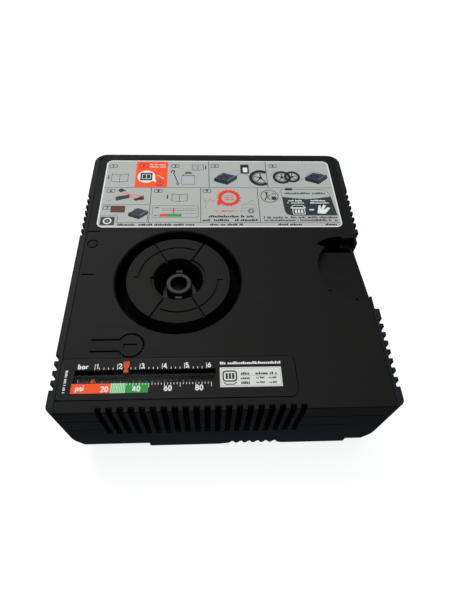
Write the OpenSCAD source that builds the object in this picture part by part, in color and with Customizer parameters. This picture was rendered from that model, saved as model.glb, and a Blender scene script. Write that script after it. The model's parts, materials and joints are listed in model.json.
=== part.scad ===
// Flat car tyre inflator: a square 12 V piston compressor with a dock for a
// sealant bottle, a sliding-pointer pressure gauge and a keyhole air-release button.
// X is the width, Y the depth (front at -Y), Z up. The origin is the middle of the
// footprint, on the surface that the object stands on. Millimetres.

/* [Body] */
// Overall width, over the two side rails
body_w = 188; // [170:1:240]
// Overall depth, front face to back face
body_d = 204; // [190:1:260]
// Overall height, from the surface it stands on to the flat top
body_h = 64; // [60:1:80]
// Width of each side rail outside the cover seam
rail_w = 4; // [3.4:0.1:6]
// Wall thickness of the lower housing
wall = 2.5; // [2:0.1:3]
// Thickness of the top cover plate
cover_t = 3; // [2.6:0.1:3.6]
// Height of the skids under the floor
skid_h = 6; // [4:0.5:8]
// Height of each lapped band on the front face
band_h = 14.5; // [12:0.5:16]
// Radius of the vertical corners at the front
front_corner_r = 4; // [3:0.5:6]
// Radius of the vertical corners at the back
rear_corner_r = 9; // [6:0.5:12]
// Inward lean of the side walls over the lowest band
side_lean = 7; // [4:0.5:9]

/* [Vents] */
// Distance from one vent slot to the next
vent_pitch = 5.65; // [5:0.05:7]
// Width of a vent slot
vent_w = 3.3; // [2:0.1:3.4]
// Depth of the vent slots below the top
vent_h = 37.5; // [30:0.5:45]
// Number of slots in the front face
front_vents = 20; // [10:1:24]

/* [Bottle dock] */
// Dock centre, from the left seam
dock_from_left = 62; // [58:0.5:80]
// Dock centre, from the front face
dock_from_front = 85; // [84:0.5:100]
// Radius of the groove that takes the bottle collar
dock_r = 39.3; // [36:0.1:42]
// Radius of the raised disc inside the groove, at the top
disc_r = 32.3; // [28:0.1:34]
// Depth of the groove
groove_depth = 15; // [12:0.5:18]
// Radius of the hub well in the middle
hub_r = 15.5; // [14:0.1:18]
// Depth of the hub well
hub_depth = 19; // [16:0.5:20]
// Outer radius of the air spigot that the bottle seats on
spigot_r = 8.2; // [7:0.1:9.5]
// Air bore radius at the mouth of the spigot
spigot_bore_r = 5.4; // [4:0.1:6]
// How far the spigot's tip lies below the top
spigot_below = 5.4; // [3:0.1:8]

/* [Gauge] */
// Width of the gauge panel, from the left seam
panel_w = 128.3; // [120:0.1:140]
// Depth of the gauge panel, front to back
panel_d = 24.2; // [22:0.1:28]
// Distance of the panel behind the front face
panel_from_front = 6.3; // [5:0.1:10]
// Thickness of the gauge panel
panel_t = 1.6; // [1.2:0.1:1.8]
// Travel of the pointer for one bar
mm_per_bar = 12.1; // [10:0.1:13]
// Highest pressure on the scale, in bar
bar_max = 6; // [4:1:6]
// Outer radius of the clear gauge tube
tube_r = 3.3; // [3:0.1:3.6]
// Inner radius of the clear gauge tube
tube_bore_r = 2.6; // [2.2:0.1:2.8]

/* [Air release button] */
// Button pad centre, from the left seam
button_from_left = 36.4; // [34:0.1:40]
// Button pad centre, from the front face
button_from_front = 38.4; // [38:0.1:46]
// Radius of the round pad
button_r = 6.8; // [6:0.1:8]
// Width of the springy tongue
tongue_w = 6.3; // [5:0.1:8]
// Root of the tongue, from the left seam
tongue_from_left = 14; // [12:0.5:18]
// Width of the slit round the tongue
slit_w = 1; // [0.8:0.1:1.4]

/* [Hose bay] */
// Radius of the finger scoop
scoop_r = 26; // [20:0.5:30]
// Scoop centre, in from the right seam
scoop_from_right = 2.5; // [0:0.5:10]
// Scoop centre, from the front face
scoop_from_front = 92; // [85:0.5:110]
// Fall of the scoop floor at the slot
scoop_fall = 6; // [4:0.5:7]
// Depth of the hose bay below the top
bay_depth = 26; // [22:0.5:28]

/* [Pump and motor] */
// Height of the motor and crank axes above the surface it stands on
axis_z = 38; // [37.5:0.1:39]
// Radius of the motor can
motor_r = 18; // [16:0.5:18.5]
// Length of the motor can
motor_l = 57; // [50:0.5:60]
// Gear module
gear_module = 0.8; // [0.8:0.05:0.85]
// Teeth on the motor pinion
pinion_teeth = 12; // [10:1:14]
// Teeth on the crank gear
crank_teeth = 50; // [44:1:50]
// Crank throw, half the piston stroke
crank_throw = 7; // [5:0.5:8]
// Cylinder bore radius
bore_r = 11; // [10:0.25:12]
// Length from the crank pin to the crown of the piston
rod_l = 38; // [36:0.5:44]

/* [Fits] */
// Radial clearance of a running fit
run_fit = 0.05; // [0.03:0.01:0.08]
// Gap between pieces that only pass each other
pass_gap = 0.3; // [0.3:0.05:0.5]
// Half the seam between the cover and the housing
seam_gap = 0.15; // [0.1:0.05:0.25]

/* [Hidden] */
$fn = 64;

// Edges and levels of the body
cover_w = body_w - 2 * rail_w;
left = -cover_w / 2;
right = cover_w / 2;
front = -body_d / 2;
back = body_d / 2;
outer_left = -body_w / 2;
outer_right = body_w / 2;
cover_under = body_h - cover_t;
split_z = body_h - 3 * band_h + 0.5;
floor_top = skid_h + wall;
vent_floor = body_h - vent_h;
groove = 0.7;
edge_line = [0.5, 1.1];
tiny = 0.01;

// Centres of the features in the top
dock = [left + dock_from_left, front + dock_from_front];
button = [left + button_from_left, front + button_from_front];
tongue_x = left + tongue_from_left;
scoop = [right - scoop_from_right, front + scoop_from_front];
first_vent = left + 22.8;

// Case screws
post_r = 4;
screw_r = 1.5;
screw_head_r = 3;
post_split = body_h - 10;
posts = [[left + 6.2, front + 9], [right - 9, front + 10],
    [left + 10, back - 12], [right - 10, back - 12]];

// Gauge
panel_y0 = front + panel_from_front;
panel_z = body_h - panel_t;
window_x = [left + 8, left + 84];
window_y = [front + 16, front + 20.9];
marker_slot_y = [front + 21, front + 23.4];
gauge_y = front + 18.4;
gauge_z = cover_under - pass_gap - tube_r;
gauge_x = [left + 6, left + 106];
scale_zero = left + 6.4;
pointer_x = left + 16.7;
marker_x = scale_zero + mm_per_bar * 2.4;
piston_l = 6;
seat_l = 6;

// Dock levels
groove_floor = body_h - groove_depth;
hub_floor = body_h - hub_depth;
trough_t = 2.5;
trough_wall = 2.2;
dock_flange_r = dock_r + 4.7;
disc_foot_r = disc_r + 1.7;
ear_r = dock_r + 6.7;
ear_size = 3.4;
ears = [for (a = [45:90:315]) dock + ear_r * [cos(a), sin(a)]];
boss_h = 1.5;
lug_r = [spigot_r + 1.1, spigot_r + 2.8];
lug_w = 4.2;
spigot_top = body_h - spigot_below;
gasket_t = 0.8;
flange_t = 2;
stem_r = 5;
arc_r = 24.4;

// Air release valve
block_x = [button[0] - 12, button[0] + 13];
block_y = [button[1] - 8.5, button[1] + 6];
block_z = [34, 50];
block_boss_h = 4;
block_post_r = 3.4;
block_screw_r = 1.2;
barb_z = 42;
button_t = cover_t - 0.7;
plunger_r = 3;
plunger_stem_r = 2;
plunger_cap_r = 4.4;
plunger_top = body_h - button_t - pass_gap;
cap_top = plunger_top - 1;
cap_t = 1;
block_screws = [button + [-9, 3.4], button + [9.6, 0]];

// Hose barbs and the hoses that reach them
barb_r = 1.8;
barb_l = 7.5;
barb_bore_r = 1;
hose_r = 2.4;
small_barb_r = 1.3;
small_barb_l = 6;
small_bore_r = 0.7;
small_hose_r = 1.7;
wire_r = 0.9;

// Hose bay: a slot at the back of the scoop, over a rectangular box
bay_floor = body_h - bay_depth;
bay_wall = 2;
bay_mouth = front + 110;
bay_arc = [right - 11.2, front + 98.4];
bay_arc_r = 20.7;
bay_step_x = right - 8.2;
bay_back = [front + 114.8, front + 119];
bay_x = [right - 26.4, right - 2];
bay_y = [bay_mouth - 6, bay_back[1]];
bay_roof = body_h - 13;
nipple = [bay_x[0] + 9.4, bay_mouth + 4.2];
nipple_r = 2.5;
nipple_l = 9;
gland_bore_r = 2.2;
gland_neck_r = 3.4;
gland_lip_r = 4.2;
gland = [right - 2 * seam_gap - wall - gland_lip_r, bay_mouth + 2.4];
outlet_z = bay_floor - 8;
outlet_half = 3;

// Finger recess in the right side
grip_y = [front + 70, front + 113];
grip_z = split_z + 2;
grip_step = 9;

// Switch
switch_y = front + 103;
switch_z = 42.5;
switch_size = [14, 26, 13];
rocker_pivot = [outer_left + 4.5, switch_y];
rocker_tilt = 8;
pocket_depth = 3;

// Pump: the frame plate stands behind the piston line, the rest follows it
frame_x = left + 107;
frame_t = 3;
gear_w = 6;
motor_y = back - 26;
gear_gap = 0.12;
crank_y = motor_y - gear_module * (pinion_teeth + crank_teeth) / 2 - gear_gap;
gear_x = frame_x + frame_t + 2;
pin_end = gear_x + gear_w + 2.2;
rod_x = pin_end + pass_gap;
rod_w = 6;
bore_x = rod_x + rod_w / 2;
frame_foot_z = 13;
crown_y = crank_y - crank_throw - rod_l;
piston_t = 4;
cyl_top_y = crown_y - 0.5;
cyl_end_y = crown_y + 2 * crank_throw + 8;
cyl_wall = 2;
cyl_square = 34;
cross_y = cyl_end_y - 3;
plate_t = 1;
head_gasket_t = 0.6;
head_front = cyl_top_y - plate_t - head_gasket_t;
head_t = 10;
can_x = [frame_x - motor_l, frame_x];
shaft_r = 1.6;
axle_r = 3;
pump_feet = [[frame_x - 7, cross_y + 8], [frame_x - 7, motor_y + 13],
    [bore_x + 12, cross_y + 9], [bore_x + 12, motor_y + 13]];
frame_right = bore_x + 17.5;
frame_back = motor_y + 19;
crank_pin_r = 2.5;
axle_head_r = max(axle_r + 0.2, crank_throw - crank_pin_r - 0.5);

// Routes of the hoses and wires inside the housing
pump_route = [[33.5, -13.6, 38], [33.5, -20, 38], [32.5, -27, 38.2], [29, -34, 38.6],
    [23, -41, 39], [14, -48, 39.6], [4, -53, 40.2], [-8, -56.5, 41], [-20, -59, 41.8],
    [-28, -59.6, 42], [-33, -59.6, 42]];
outlet_route = [[-33, -67.6, 42], [-28, -67.6, 42], [-20, -68, 41.8], [-8, -69, 41],
    [8, -69.5, 39.5], [24, -68.5, 37.5], [40, -64, 35], [52, -56, 33], [62, -46, 31.5],
    [68, -34, 30.5], [71.5, -22, 30], [73, -11, 30], [73, -5, 30], [73, 1.6, 30]];
dock_route = [[-53.6, -50, 42], [-53.6, -45, 42], [-53.4, -38.5, 40], [-52.6, -32, 36.5],
    [-51.4, -26.5, 33], [-49.4, -21, 30.8], [-47, -18, 30.1], [-43, -17, 30], [-39.6, -17, 30]];
gauge_route = [[-71.7, -63.6, 42], [-74.5, -63.6, 42], [-78.5, -64.8, 40.6], [-82.5, -68, 39.2],
    [-85, -72, 38.6], [-86.2, -76.5, 38.8], [-86.6, -80.5, 40], [-86.6, -83.2, 42],
    [-86.6, -83.6, 44.2], [-86.6, -83.6, 46.2]];
plus_route = [[81.9, 10.4, 33.3], [81.9, 10.2, 30.5], [80.7, 6.5, 24], [76, -3, 18],
    [68, -16, 14], [54, -34, 12], [36, -50, 12], [12, -58, 12], [-12, -58, 12], [-34, -52, 13],
    [-50, -40, 16], [-60, -26, 24], [-63, -14, 34], [-64.5, -7, 40.5], [-67.5, -5, 42.4],
    [-70.8, -5, 42.5]];
minus_route = [[84.1, 10.4, 33.3], [84.1, 10.2, 30.5], [83.6, 7.5, 24], [81, 3, 18],
    [74, -6, 14], [60, -18, 12], [40, -28, 12], [20, -30, 12], [0, -24, 12], [-18, -10, 12],
    [-30, 8, 12], [-38, 26, 13], [-43, 44, 16], [-44.8, 60, 20], [-44.8, 68, 24],
    [-44.8, 71.5, 25.5], [-44.8, 74.1, 25.5]];
motor_route = [[-70.8, 7, 42.5], [-68, 7, 42.5], [-63, 10, 43.6], [-57, 20, 45],
    [-51, 36, 47], [-46.6, 52, 49], [-44.8, 62, 50.2], [-44.8, 71, 50.5], [-44.8, 74.1, 50.5]];

/* Shared shapes */

// Rectangle with its own radius at the front and at the back corners, in exact arcs
module exact_outline(x0, x1, y0, y1, r_front, r_back) {
    translate([x0, y0 + r_front]) square([x1 - x0, y1 - y0 - r_front - r_back]);
    translate([x0 + r_front, y0]) square([x1 - x0 - 2 * r_front, r_front + tiny]);
    translate([x0 + r_back, y1 - r_back - tiny]) square([x1 - x0 - 2 * r_back, r_back + tiny]);
    for (x = [x0 + r_front, x1 - r_front]) translate([x, y0 + r_front]) circle(r_front);
    for (x = [x0 + r_back, x1 - r_back]) translate([x, y1 - r_back]) circle(r_back);
}

// Box between two corners
module block(low, high) {
    translate(low) cube(high - low);
}

// Cylinder along X from x0 to x1
module rod_along_x(x0, x1, y, z, r) {
    translate([x0, y, z]) rotate([0, 90, 0]) cylinder(h = x1 - x0, r = r);
}

// Cylinder along Y from y0 to y1
module rod_along_y(y0, y1, x, z, r) {
    translate([x, y0, z]) rotate([-90, 0, 0]) cylinder(h = y1 - y0, r = r);
}

// Cylinder along Z from z0 to z1
module rod_along_z(z0, z1, p, r) {
    translate([p[0], p[1], z0]) cylinder(h = z1 - z0, r = r);
}

// Hose barb along +Z from the origin, with two ridges
module barb(r, length) {
    cylinder(h = length, r = r);
    for (k = [0, 1])
        translate([0, 0, length * (0.35 + 0.35 * k)])
            cylinder(h = length * 0.25, r1 = r + 0.5, r2 = r);
}

// Pan-head screw, head down at the origin, shank up
module screw(r, head_r, head_h, length) {
    difference() {
        cylinder(h = head_h, r = head_r);
        translate([-head_r * 0.6, -0.4, -tiny]) cube([head_r * 1.2, 0.8, head_h * 0.5]);
        translate([-0.4, -head_r * 0.6, -tiny]) cube([0.8, head_r * 1.2, head_h * 0.5]);
    }
    translate([0, 0, head_h - tiny]) cylinder(h = length + tiny, r = r);
}

// Spur gear blank with straight-flanked teeth, on the Z axis
module gear_outline(teeth, turn) {
    pitch_r = gear_module * teeth / 2;
    root_r = pitch_r - gear_module * 1.2;
    tip_r = pitch_r + gear_module * 0.95;
    step = 360 / teeth;
    points = [for (i = [0:teeth - 1], q = [[root_r, -0.30], [pitch_r, -0.228],
            [tip_r, -0.11], [tip_r, 0.11], [pitch_r, 0.228], [root_r, 0.30]])
        q[0] * [cos(step * (i + q[1]) + turn), sin(step * (i + q[1]) + turn)]];
    polygon(points);
}

/* Swept tubes for hoses and wires */

// Unit vector, and the direction of a path at point i
function unit(v) = v / norm(v);
function heading(p, i) = unit(p[min(i + 1, len(p) - 1)] - p[max(i - 1, 0)]);
// A side direction that is never along the path
function side(t) = unit(cross(t, abs(t[2]) > 0.9 ? [1, 0, 0] : [0, 0, 1]));

// Tube of radius r through the points p, with flat ends
module tube(p, r, sides) {
    n = len(p);
    rings = [for (i = [0:n - 1]) let (t = heading(p, i), u = side(t), v = cross(t, u))
        for (k = [0:sides - 1]) p[i] + r * (cos(360 * k / sides) * u + sin(360 * k / sides) * v)];
    walls = [for (i = [0:n - 2], k = [0:sides - 1]) let (a = i * sides + k,
        b = i * sides + (k + 1) % sides) each [[a, a + sides, b], [b, a + sides, b + sides]]];
    ends = [[for (k = [0:sides - 1]) k], [for (k = [sides - 1:-1:0]) (n - 1) * sides + k]];
    polyhedron(rings, concat(walls, ends), convexity = 6);
}

/* Outer shells */

// Vent slots cut from the front edge down the front face
module front_slots() {
    for (i = [0:front_vents - 1])
        block([first_vent + i * vent_pitch - vent_w / 2, front - 1, vent_floor],
            [first_vent + i * vent_pitch + vent_w / 2, front + wall + tiny, body_h + 1]);
}

// Finger scoop with a floor that falls towards the slot, grown by a skin, up to level top
module scoop_shape(skin, top) {
    fall = atan(scoop_fall / (bay_mouth - scoop[1] + scoop_r));
    intersection() {
        rod_along_z(body_h - 14, top, scoop, scoop_r + skin);
        block([left, front, body_h - 14], [right - seam_gap, back, top]);
        translate([0, scoop[1] - scoop_r, body_h - skin])
            rotate([-fall, 0, 0]) translate([left, -20, 0]) cube([cover_w, 120, 30]);
    }
}

// Plan of the slot at the back of the scoop: a curved back edge and a step at its right end
module bay_outline() {
    scoop_edge = scoop[0] - sqrt(pow(scoop_r, 2) - pow(bay_mouth - scoop[1], 2));
    intersection() {
        translate(bay_arc) circle(bay_arc_r);
        polygon([[bay_x[0], bay_mouth + 2.4], [scoop_edge, bay_mouth], [bay_step_x, bay_mouth],
            [bay_step_x, bay_back[1] + 5], [bay_x[0], bay_back[1] + 5]]);
    }
    translate([bay_step_x - tiny, bay_mouth])
        square([bay_x[1] - bay_step_x + tiny, bay_back[0] - bay_mouth]);
}

// Round-ended slit outline of the tongue, grown by g
module tongue_outline(g) {
    translate(button) circle(button_r + g);
    translate([tongue_x, button[1] - tongue_w / 2 - g])
        square([button[0] - tongue_x, tongue_w + 2 * g]);
}

// Lapped grooves across the front apron, and a shadow line under its top edge
module front_grooves() {
    for (k = [1, 2])
        block([left - 5, front - 1, body_h - k * band_h - groove / 2],
            [right + 5, front + groove, body_h - k * band_h + groove / 2]);
    block([left - 5, front - 1, body_h - edge_line[1]], [right + 5, front + groove,
        body_h - edge_line[0]]);
}

module top_cover() {
    color("#26282b") {
        difference() {
            union() {
                translate([0, 0, cover_under]) linear_extrude(cover_t)
                    exact_outline(left + seam_gap, right - seam_gap, front,
                        back - wall - seam_gap, 0.2, rear_corner_r - 3);
                block([left + seam_gap, front, split_z + seam_gap],
                    [right - seam_gap, front + wall, body_h - tiny]);
                scoop_shape(bay_wall, cover_under + tiny);
                for (p = posts) rod_along_z(post_split + tiny, cover_under + tiny, p, post_r);
                for (x = [gauge_x[0] + 3, gauge_x[1] - 3])
                    block([x - 1.5, gauge_y - tube_r - 1.6, gauge_z - 1.5],
                        [x + 1.5, gauge_y + tube_r + 1.6, cover_under + tiny]);
                for (e = ears) rod_along_z(cover_under - boss_h, cover_under + tiny, e, ear_size);
            }
            front_slots();
            front_grooves();
            scoop_shape(0, body_h + 5);
            translate([0, 0, cover_under - 12]) linear_extrude(20) bay_outline();
            rod_along_z(cover_under - 1, body_h + 1, dock, dock_r);
            translate([dock[0], dock[1], body_h - 0.8])
                cylinder(h = 1, r1 = dock_r, r2 = dock_r + 1);
            translate([0, 0, cover_under - 1]) linear_extrude(cover_t + 2) tongue_outline(slit_w);
            panel_recess();
            label_recess();
            top_marks();
            for (p = posts) rod_along_z(post_split - 1, body_h - 3.2, p, screw_r);
            for (x = [gauge_x[0] + 3, gauge_x[1] - 3])
                rod_along_x(x - 2, x + 2, gauge_y, gauge_z, tube_r);
            for (e = ears) rod_along_z(cover_under - boss_h - 1, cover_under + 1.5, e, 1);
        }
    }
}

// Recess for the gauge panel, with the view opening and the marker slot through it
module panel_recess() {
    translate([0, 0, panel_z]) linear_extrude(cover_t) panel_outline(0);
    block([window_x[0] + 1, window_y[0] + 0.6, cover_under - 1],
        [window_x[1] - 1, window_y[1] - 0.6, body_h + 1]);
    block([window_x[0], marker_slot_y[0] + 0.2, cover_under - 1],
        [window_x[1], marker_slot_y[1] - 0.2, body_h + 1]);
}

// Plan of the gauge panel: square at the seam, round at its right end
module panel_outline(g) {
    r = 4;
    y1 = panel_y0 + panel_d;
    translate([left, panel_y0 + g]) square([panel_w - r, panel_d - 2 * g]);
    translate([left, panel_y0 + r]) square([panel_w - g, panel_d - 2 * r]);
    for (y = [panel_y0 + r, y1 - r]) translate([left + panel_w - r, y]) circle(r - g);
}

// Plan of the label and its recess
label_size = [169, 69];
label_y = back - 7 - label_size[1];
label_t = 0.3;
module label_outline(g) {
    r = 5;
    exact_outline(-label_size[0] / 2 - g, label_size[0] / 2 + g,
        label_y - g, label_y + label_size[1] + g, r, r);
}
module label_recess() {
    translate([0, 0, body_h - label_t]) linear_extrude(1) label_outline(seam_gap);
}

// Engraved marks in the top: the switch symbols, the button mark, the bay arrow and a dot
mark_d = 0.9;
mark_w = 0.9;
module top_marks() {
    z0 = body_h - mark_d;
    symbol_x = left + 5.2;
    // O for off
    difference() {
        rod_along_z(z0, body_h + 1, [symbol_x, front + 113.5], 3.6);
        rod_along_z(z0 - 1, body_h + 2, [symbol_x, front + 113.5], 3.6 - mark_w);
    }
    // I for on
    block([symbol_x - 3.6, front + 88.5 - mark_w / 2, z0],
        [symbol_x + 3.6, front + 88.5 + mark_w / 2, body_h + 1]);
    // Index line at the back of the switch
    block([left + 0.6, front + 124.5 - mark_w / 2, z0],
        [left + 8.7, front + 124.5 + mark_w / 2, body_h + 1]);
    // Dot beside the scoop
    rod_along_z(z0 - 0.5, body_h + 1, [right - 7.9, front + 68], 0.9);
    // Small arrow beside the scoop
    translate([right - 23.4, front + 74.5, z0]) linear_extrude(2)
        polygon([[-1.7, 0], [1.2, 1.3], [1.2, -1.3]]);
}

// Cross-section of the lower housing over its width, grown inwards by g
module housing_section(g) {
    x = body_w / 2 - g;
    polygon([[-x, body_h + 10], [-x, split_z], [-x + side_lean, skid_h + g],
        [x - side_lean, skid_h + g], [x, split_z], [x, body_h + 10]]);
}

module housing_volume(g) {
    intersection() {
        translate([0, back + 1, 0]) rotate([90, 0, 0]) linear_extrude(body_d + 2)
            housing_section(g);
        translate([0, 0, skid_h]) linear_extrude(body_h - skid_h)
            exact_outline(outer_left + g, outer_right - g, front + g, back - g,
                max(front_corner_r - g, 1), max(rear_corner_r - g, 1));
    }
}

// Vent slots in a side wall, from y0 to y1; side is -1 on the left and 1 on the right
module side_slots(side, y0, count) {
    outer = side * body_w / 2;
    for (i = [0:count - 1]) {
        y = y0 + i * vent_pitch;
        block([min(outer - side * 2, outer + side), y - vent_w / 2, vent_floor],
            [max(outer - side * 2, outer + side), y + vent_w / 2, body_h + 1]);
        block([min(outer - side * (wall + 1), outer + side), y - vent_w / 2, vent_floor],
            [max(outer - side * (wall + 1), outer + side), y + vent_w / 2, body_h - 9]);
    }
}

// Skid under one edge: a long foot with a slotted middle
skid_x = [left + 43, left + 167];
comb_x = [left + 86, left + 127.2];
comb_notches = 6;
notch_pitch = 5.35;
first_notch = comb_x[0] + 8.9;
notch_top = skid_h - 0.5;
tooth_tip = 0.3 * skid_h;
notch_shape = [[-2, tooth_tip], [-0.5, notch_top], [0.5, notch_top], [2, tooth_tip]];
module skid(y0, y1) {
    difference() {
        block([skid_x[0], y0, 0], [skid_x[1], y1, skid_h + tiny]);
        // A ramp up to the comb, its notches with teeth between, and a ramp down
        translate([0, y1 + 1, 0]) rotate([90, 0, 0]) linear_extrude(y1 - y0 + 2)
            polygon(concat([[comb_x[0], -1], [comb_x[0], 0]],
                [for (i = [0:comb_notches - 1], q = notch_shape)
                    [first_notch + i * notch_pitch + q[0], q[1]]],
                [[comb_x[1], 0], [comb_x[1], -1]]));
    }
}

module lower_housing() {
    cover_ledge = cover_under - seam_gap;
    color("#222428") difference() {
        union() {
            difference() {
                housing_volume(0);
                // Inside, floor to rim
                difference() {
                    housing_volume(wall);
                    block([outer_left, front, cover_ledge - 8], [left - seam_gap, back, body_h + 1]);
                    block([right + seam_gap, front, cover_ledge - 8], [outer_right, back, body_h + 1]);
                }
                // Room for the cover's plate and its front apron
                block([left, front - 1, split_z], [right, front + wall + tiny, body_h + 1]);
                translate([0, 0, cover_ledge]) linear_extrude(cover_t + 1)
                    exact_outline(left, right, front - 1, back - wall, 0.2, rear_corner_r - 3);
            }
            // Ledges that the cover sits on
            for (y = [front + 130, back - 20])
                for (x = [[outer_left + 1, left + 3], [right - 3, outer_right - 1]])
                    block([x[0], y, cover_ledge - 3], [x[1], y + 10, cover_ledge]);
            // Screw posts
            for (p = posts) rod_along_z(skid_h + 1, post_split, p, post_r);
            // Skids at the front and the back
            skid(front, front + 12);
            skid(back - 12, back);
            // Posts for the valve block
            for (p = block_screws) rod_along_z(floor_top - tiny, block_z[0], p, block_post_r);
            // Posts for the pump
            for (p = pump_feet) rod_along_z(floor_top - tiny, frame_foot_z - 2.5, p, 5);
            switch_wall();
            // Wall behind the finger recess
            intersection() {
                housing_volume(tiny);
                block([right - seam_gap - wall, grip_y[0] - grip_step - wall, floor_top - tiny],
                    [right + 2, grip_y[1] + grip_step + wall, cover_ledge]);
            }
        }
        // Vents in the two sides
        side_slots(-1, front + 14.1, 4);
        side_slots(-1, front + 122.8, 7);
        side_slots(1, front + 12.6, 8);
        side_slots(1, front + 127.5, 7);
        rear_slots();
        // Finger recess in the right side, with a shallow step at each end
        block([right - seam_gap, grip_y[0], grip_z], [outer_right + 1, grip_y[1], body_h + 1]);
        for (y = [grip_y[0] - grip_step, grip_y[1]])
            block([right + 1.3, y - tiny, grip_z], [outer_right + 1, y + grip_step, body_h + 1]);
        // Room for the scoop and the hose bay
        scoop_shape(bay_wall + 0.1, body_h + 5);
        for (lot = [[bay_y[0], bay_floor - bay_wall - 0.1, bay_roof + 0.1],
                [bay_mouth, bay_roof, body_h + 1]])
            block([bay_x[0] - bay_wall - 0.1, lot[0] - bay_wall - 0.1, lot[1]],
                [right + tiny, bay_y[1] + bay_wall + 0.1, lot[2]]);
        rear_grooves();
        // Screw holes, recessed from below
        for (p = posts) {
            rod_along_z(skid_h - 1, skid_h + 4, p, screw_head_r + 0.3);
            rod_along_z(skid_h, post_split + 1, p, screw_r + 0.1);
        }
        for (p = block_screws)
            rod_along_z(block_z[0] - 8, block_z[0] + 1, p, block_screw_r);
        for (p = pump_feet) rod_along_z(skid_h + 1.2, frame_foot_z, p, screw_r);
        switch_cut();
    }
}

// Slots low in the back wall, behind the motor
module rear_slots() {
    for (i = [0:front_vents - 1])
        block([first_vent + i * vent_pitch - vent_w / 2, back - wall - tiny, vent_floor],
            [first_vent + i * vent_pitch + vent_w / 2, back + 1, body_h - 9]);
}

module rear_grooves() {
    for (k = [1, 2])
        block([left + 12, back - groove, body_h - k * band_h - groove / 2],
            [right - 12, back + 1, body_h - k * band_h + groove / 2]);
}

// Inner wall behind the switch pocket
module switch_wall() {
    block([outer_left + wall - tiny, switch_y - 19, switch_z - 11.5],
        [outer_left + pocket_depth + wall, switch_y + 19, switch_z + 11.5]);
}

module switch_cut() {
    // Outer pocket, then the panel cut-out for the switch body
    block([outer_left - 1, switch_y - 16, switch_z - 9],
        [outer_left + pocket_depth, switch_y + 16, switch_z + 9]);
    block([outer_left, switch_y - switch_size[1] / 2, switch_z - switch_size[2] / 2],
        [outer_left + 12, switch_y + switch_size[1] / 2, switch_z + switch_size[2] / 2]);
}

module case_screws() {
    color("#8b8f94") for (p = posts)
        translate([p[0], p[1], skid_h + 1]) screw(screw_r, screw_head_r, 3,
            body_h - 4 - skid_h - 4);
}

module label_sheet() {
    color("#f1f2f0") translate([0, 0, body_h - label_t]) linear_extrude(label_t - 0.05)
        label_outline(0);
}

/* Gauge */

// The panel stops short of its recess in front and on the right, which shows as a dark line
panel_line = 0.45;
module gauge_panel() {
    g = seam_gap;
    color("#1b1c1e") difference() {
        translate([0, 0, panel_z]) linear_extrude(panel_t) intersection() {
            panel_outline(g);
            translate([-panel_line, panel_line]) panel_outline(g);
            translate([left + seam_gap, front]) square([cover_w, body_d]);
        }
        block([window_x[0], window_y[0], panel_z - 1],
            [window_x[1], marker_slot_y[1], body_h + 1]);
        // Seat of the small tyre data plate
        block([left + 86, front + 12.3, body_h - 0.4],
            [left + 120.2, front + 24.2, body_h + 1]);
    }
}

module gauge_window() {
    color([0.8, 0.82, 0.85, 0.35])
        block([window_x[0] + 0.1, window_y[0] + 0.1, panel_z],
            [window_x[1] - 0.1, window_y[1], body_h - 0.3]);
}

module info_plate() {
    color("#f4f4f2") block([left + 86.2, front + 12.5, body_h - 0.4],
        [left + 120, front + 24, body_h - 0.1]);
}

module gauge_tube() {
    color([0.85, 0.87, 0.9, 0.35]) difference() {
        rod_along_x(gauge_x[0], gauge_x[1], gauge_y, gauge_z, tube_r);
        rod_along_x(gauge_x[0] - 1, gauge_x[1] + 1, gauge_y, gauge_z, tube_bore_r);
    }
}

// Plug in the left end of the tube, with its barb pointing down
module gauge_inlet_plug() {
    inner = 3.4;
    color("#d8d8d4") difference() {
        union() {
            rod_along_x(gauge_x[0] - 2, gauge_x[0], gauge_y, gauge_z, tube_r);
            rod_along_x(gauge_x[0] - tiny, gauge_x[0] + inner, gauge_y, gauge_z, tube_bore_r);
            block([gauge_x[0] - 4.5, gauge_y - 2.5, gauge_z - 5],
                [gauge_x[0] - 1, gauge_y + 2.5, gauge_z + 2.4]);
            translate([gauge_x[0] - 2.6, gauge_y, gauge_z - 4.9]) mirror([0, 0, 1])
                barb(small_barb_r, small_barb_l);
        }
        rod_along_x(gauge_x[0] - 2.6, gauge_x[0] + inner + 1, gauge_y, gauge_z, small_bore_r);
        rod_along_z(gauge_z - 12, gauge_z, [gauge_x[0] - 2.6, gauge_y], small_bore_r);
    }
}

module gauge_spring_seat() {
    color("#d8d8d4") {
        rod_along_x(gauge_x[1] - seat_l, gauge_x[1] + tiny, gauge_y, gauge_z, tube_bore_r);
        rod_along_x(gauge_x[1], gauge_x[1] + 1.5, gauge_y, gauge_z, tube_r);
    }
}

module gauge_piston() {
    color("#e9e9e6") {
        rod_along_x(pointer_x - piston_l, pointer_x - 0.6, gauge_y, gauge_z,
            tube_bore_r - run_fit);
        rod_along_x(pointer_x - 1, pointer_x + 3.2, gauge_y, gauge_z, 1.1);
    }
}

// Red ring that shows the pressure
module gauge_piston_ring() {
    color("#e2401f") difference() {
        rod_along_x(pointer_x - 0.6, pointer_x + 0.6, gauge_y, gauge_z, tube_bore_r - run_fit);
        rod_along_x(pointer_x - 1, pointer_x + 1, gauge_y, gauge_z, 1.1);
    }
}

// Coil spring from the pointer ring to its seat
module gauge_spring() {
    coil_wire_r = 0.25;
    coil_r = 2.05;
    turns = 24;
    x0 = pointer_x + 0.6 + coil_wire_r;
    x1 = gauge_x[1] - seat_l - coil_wire_r;
    per_turn = 10;
    n = turns * per_turn;
    color("#b9bcc0") tube([for (i = [0:n]) [x0 + (x1 - x0) * i / n,
        gauge_y + coil_r * cos(360 * i / per_turn),
        gauge_z + coil_r * sin(360 * i / per_turn)]], coil_wire_r, 5);
}

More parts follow.
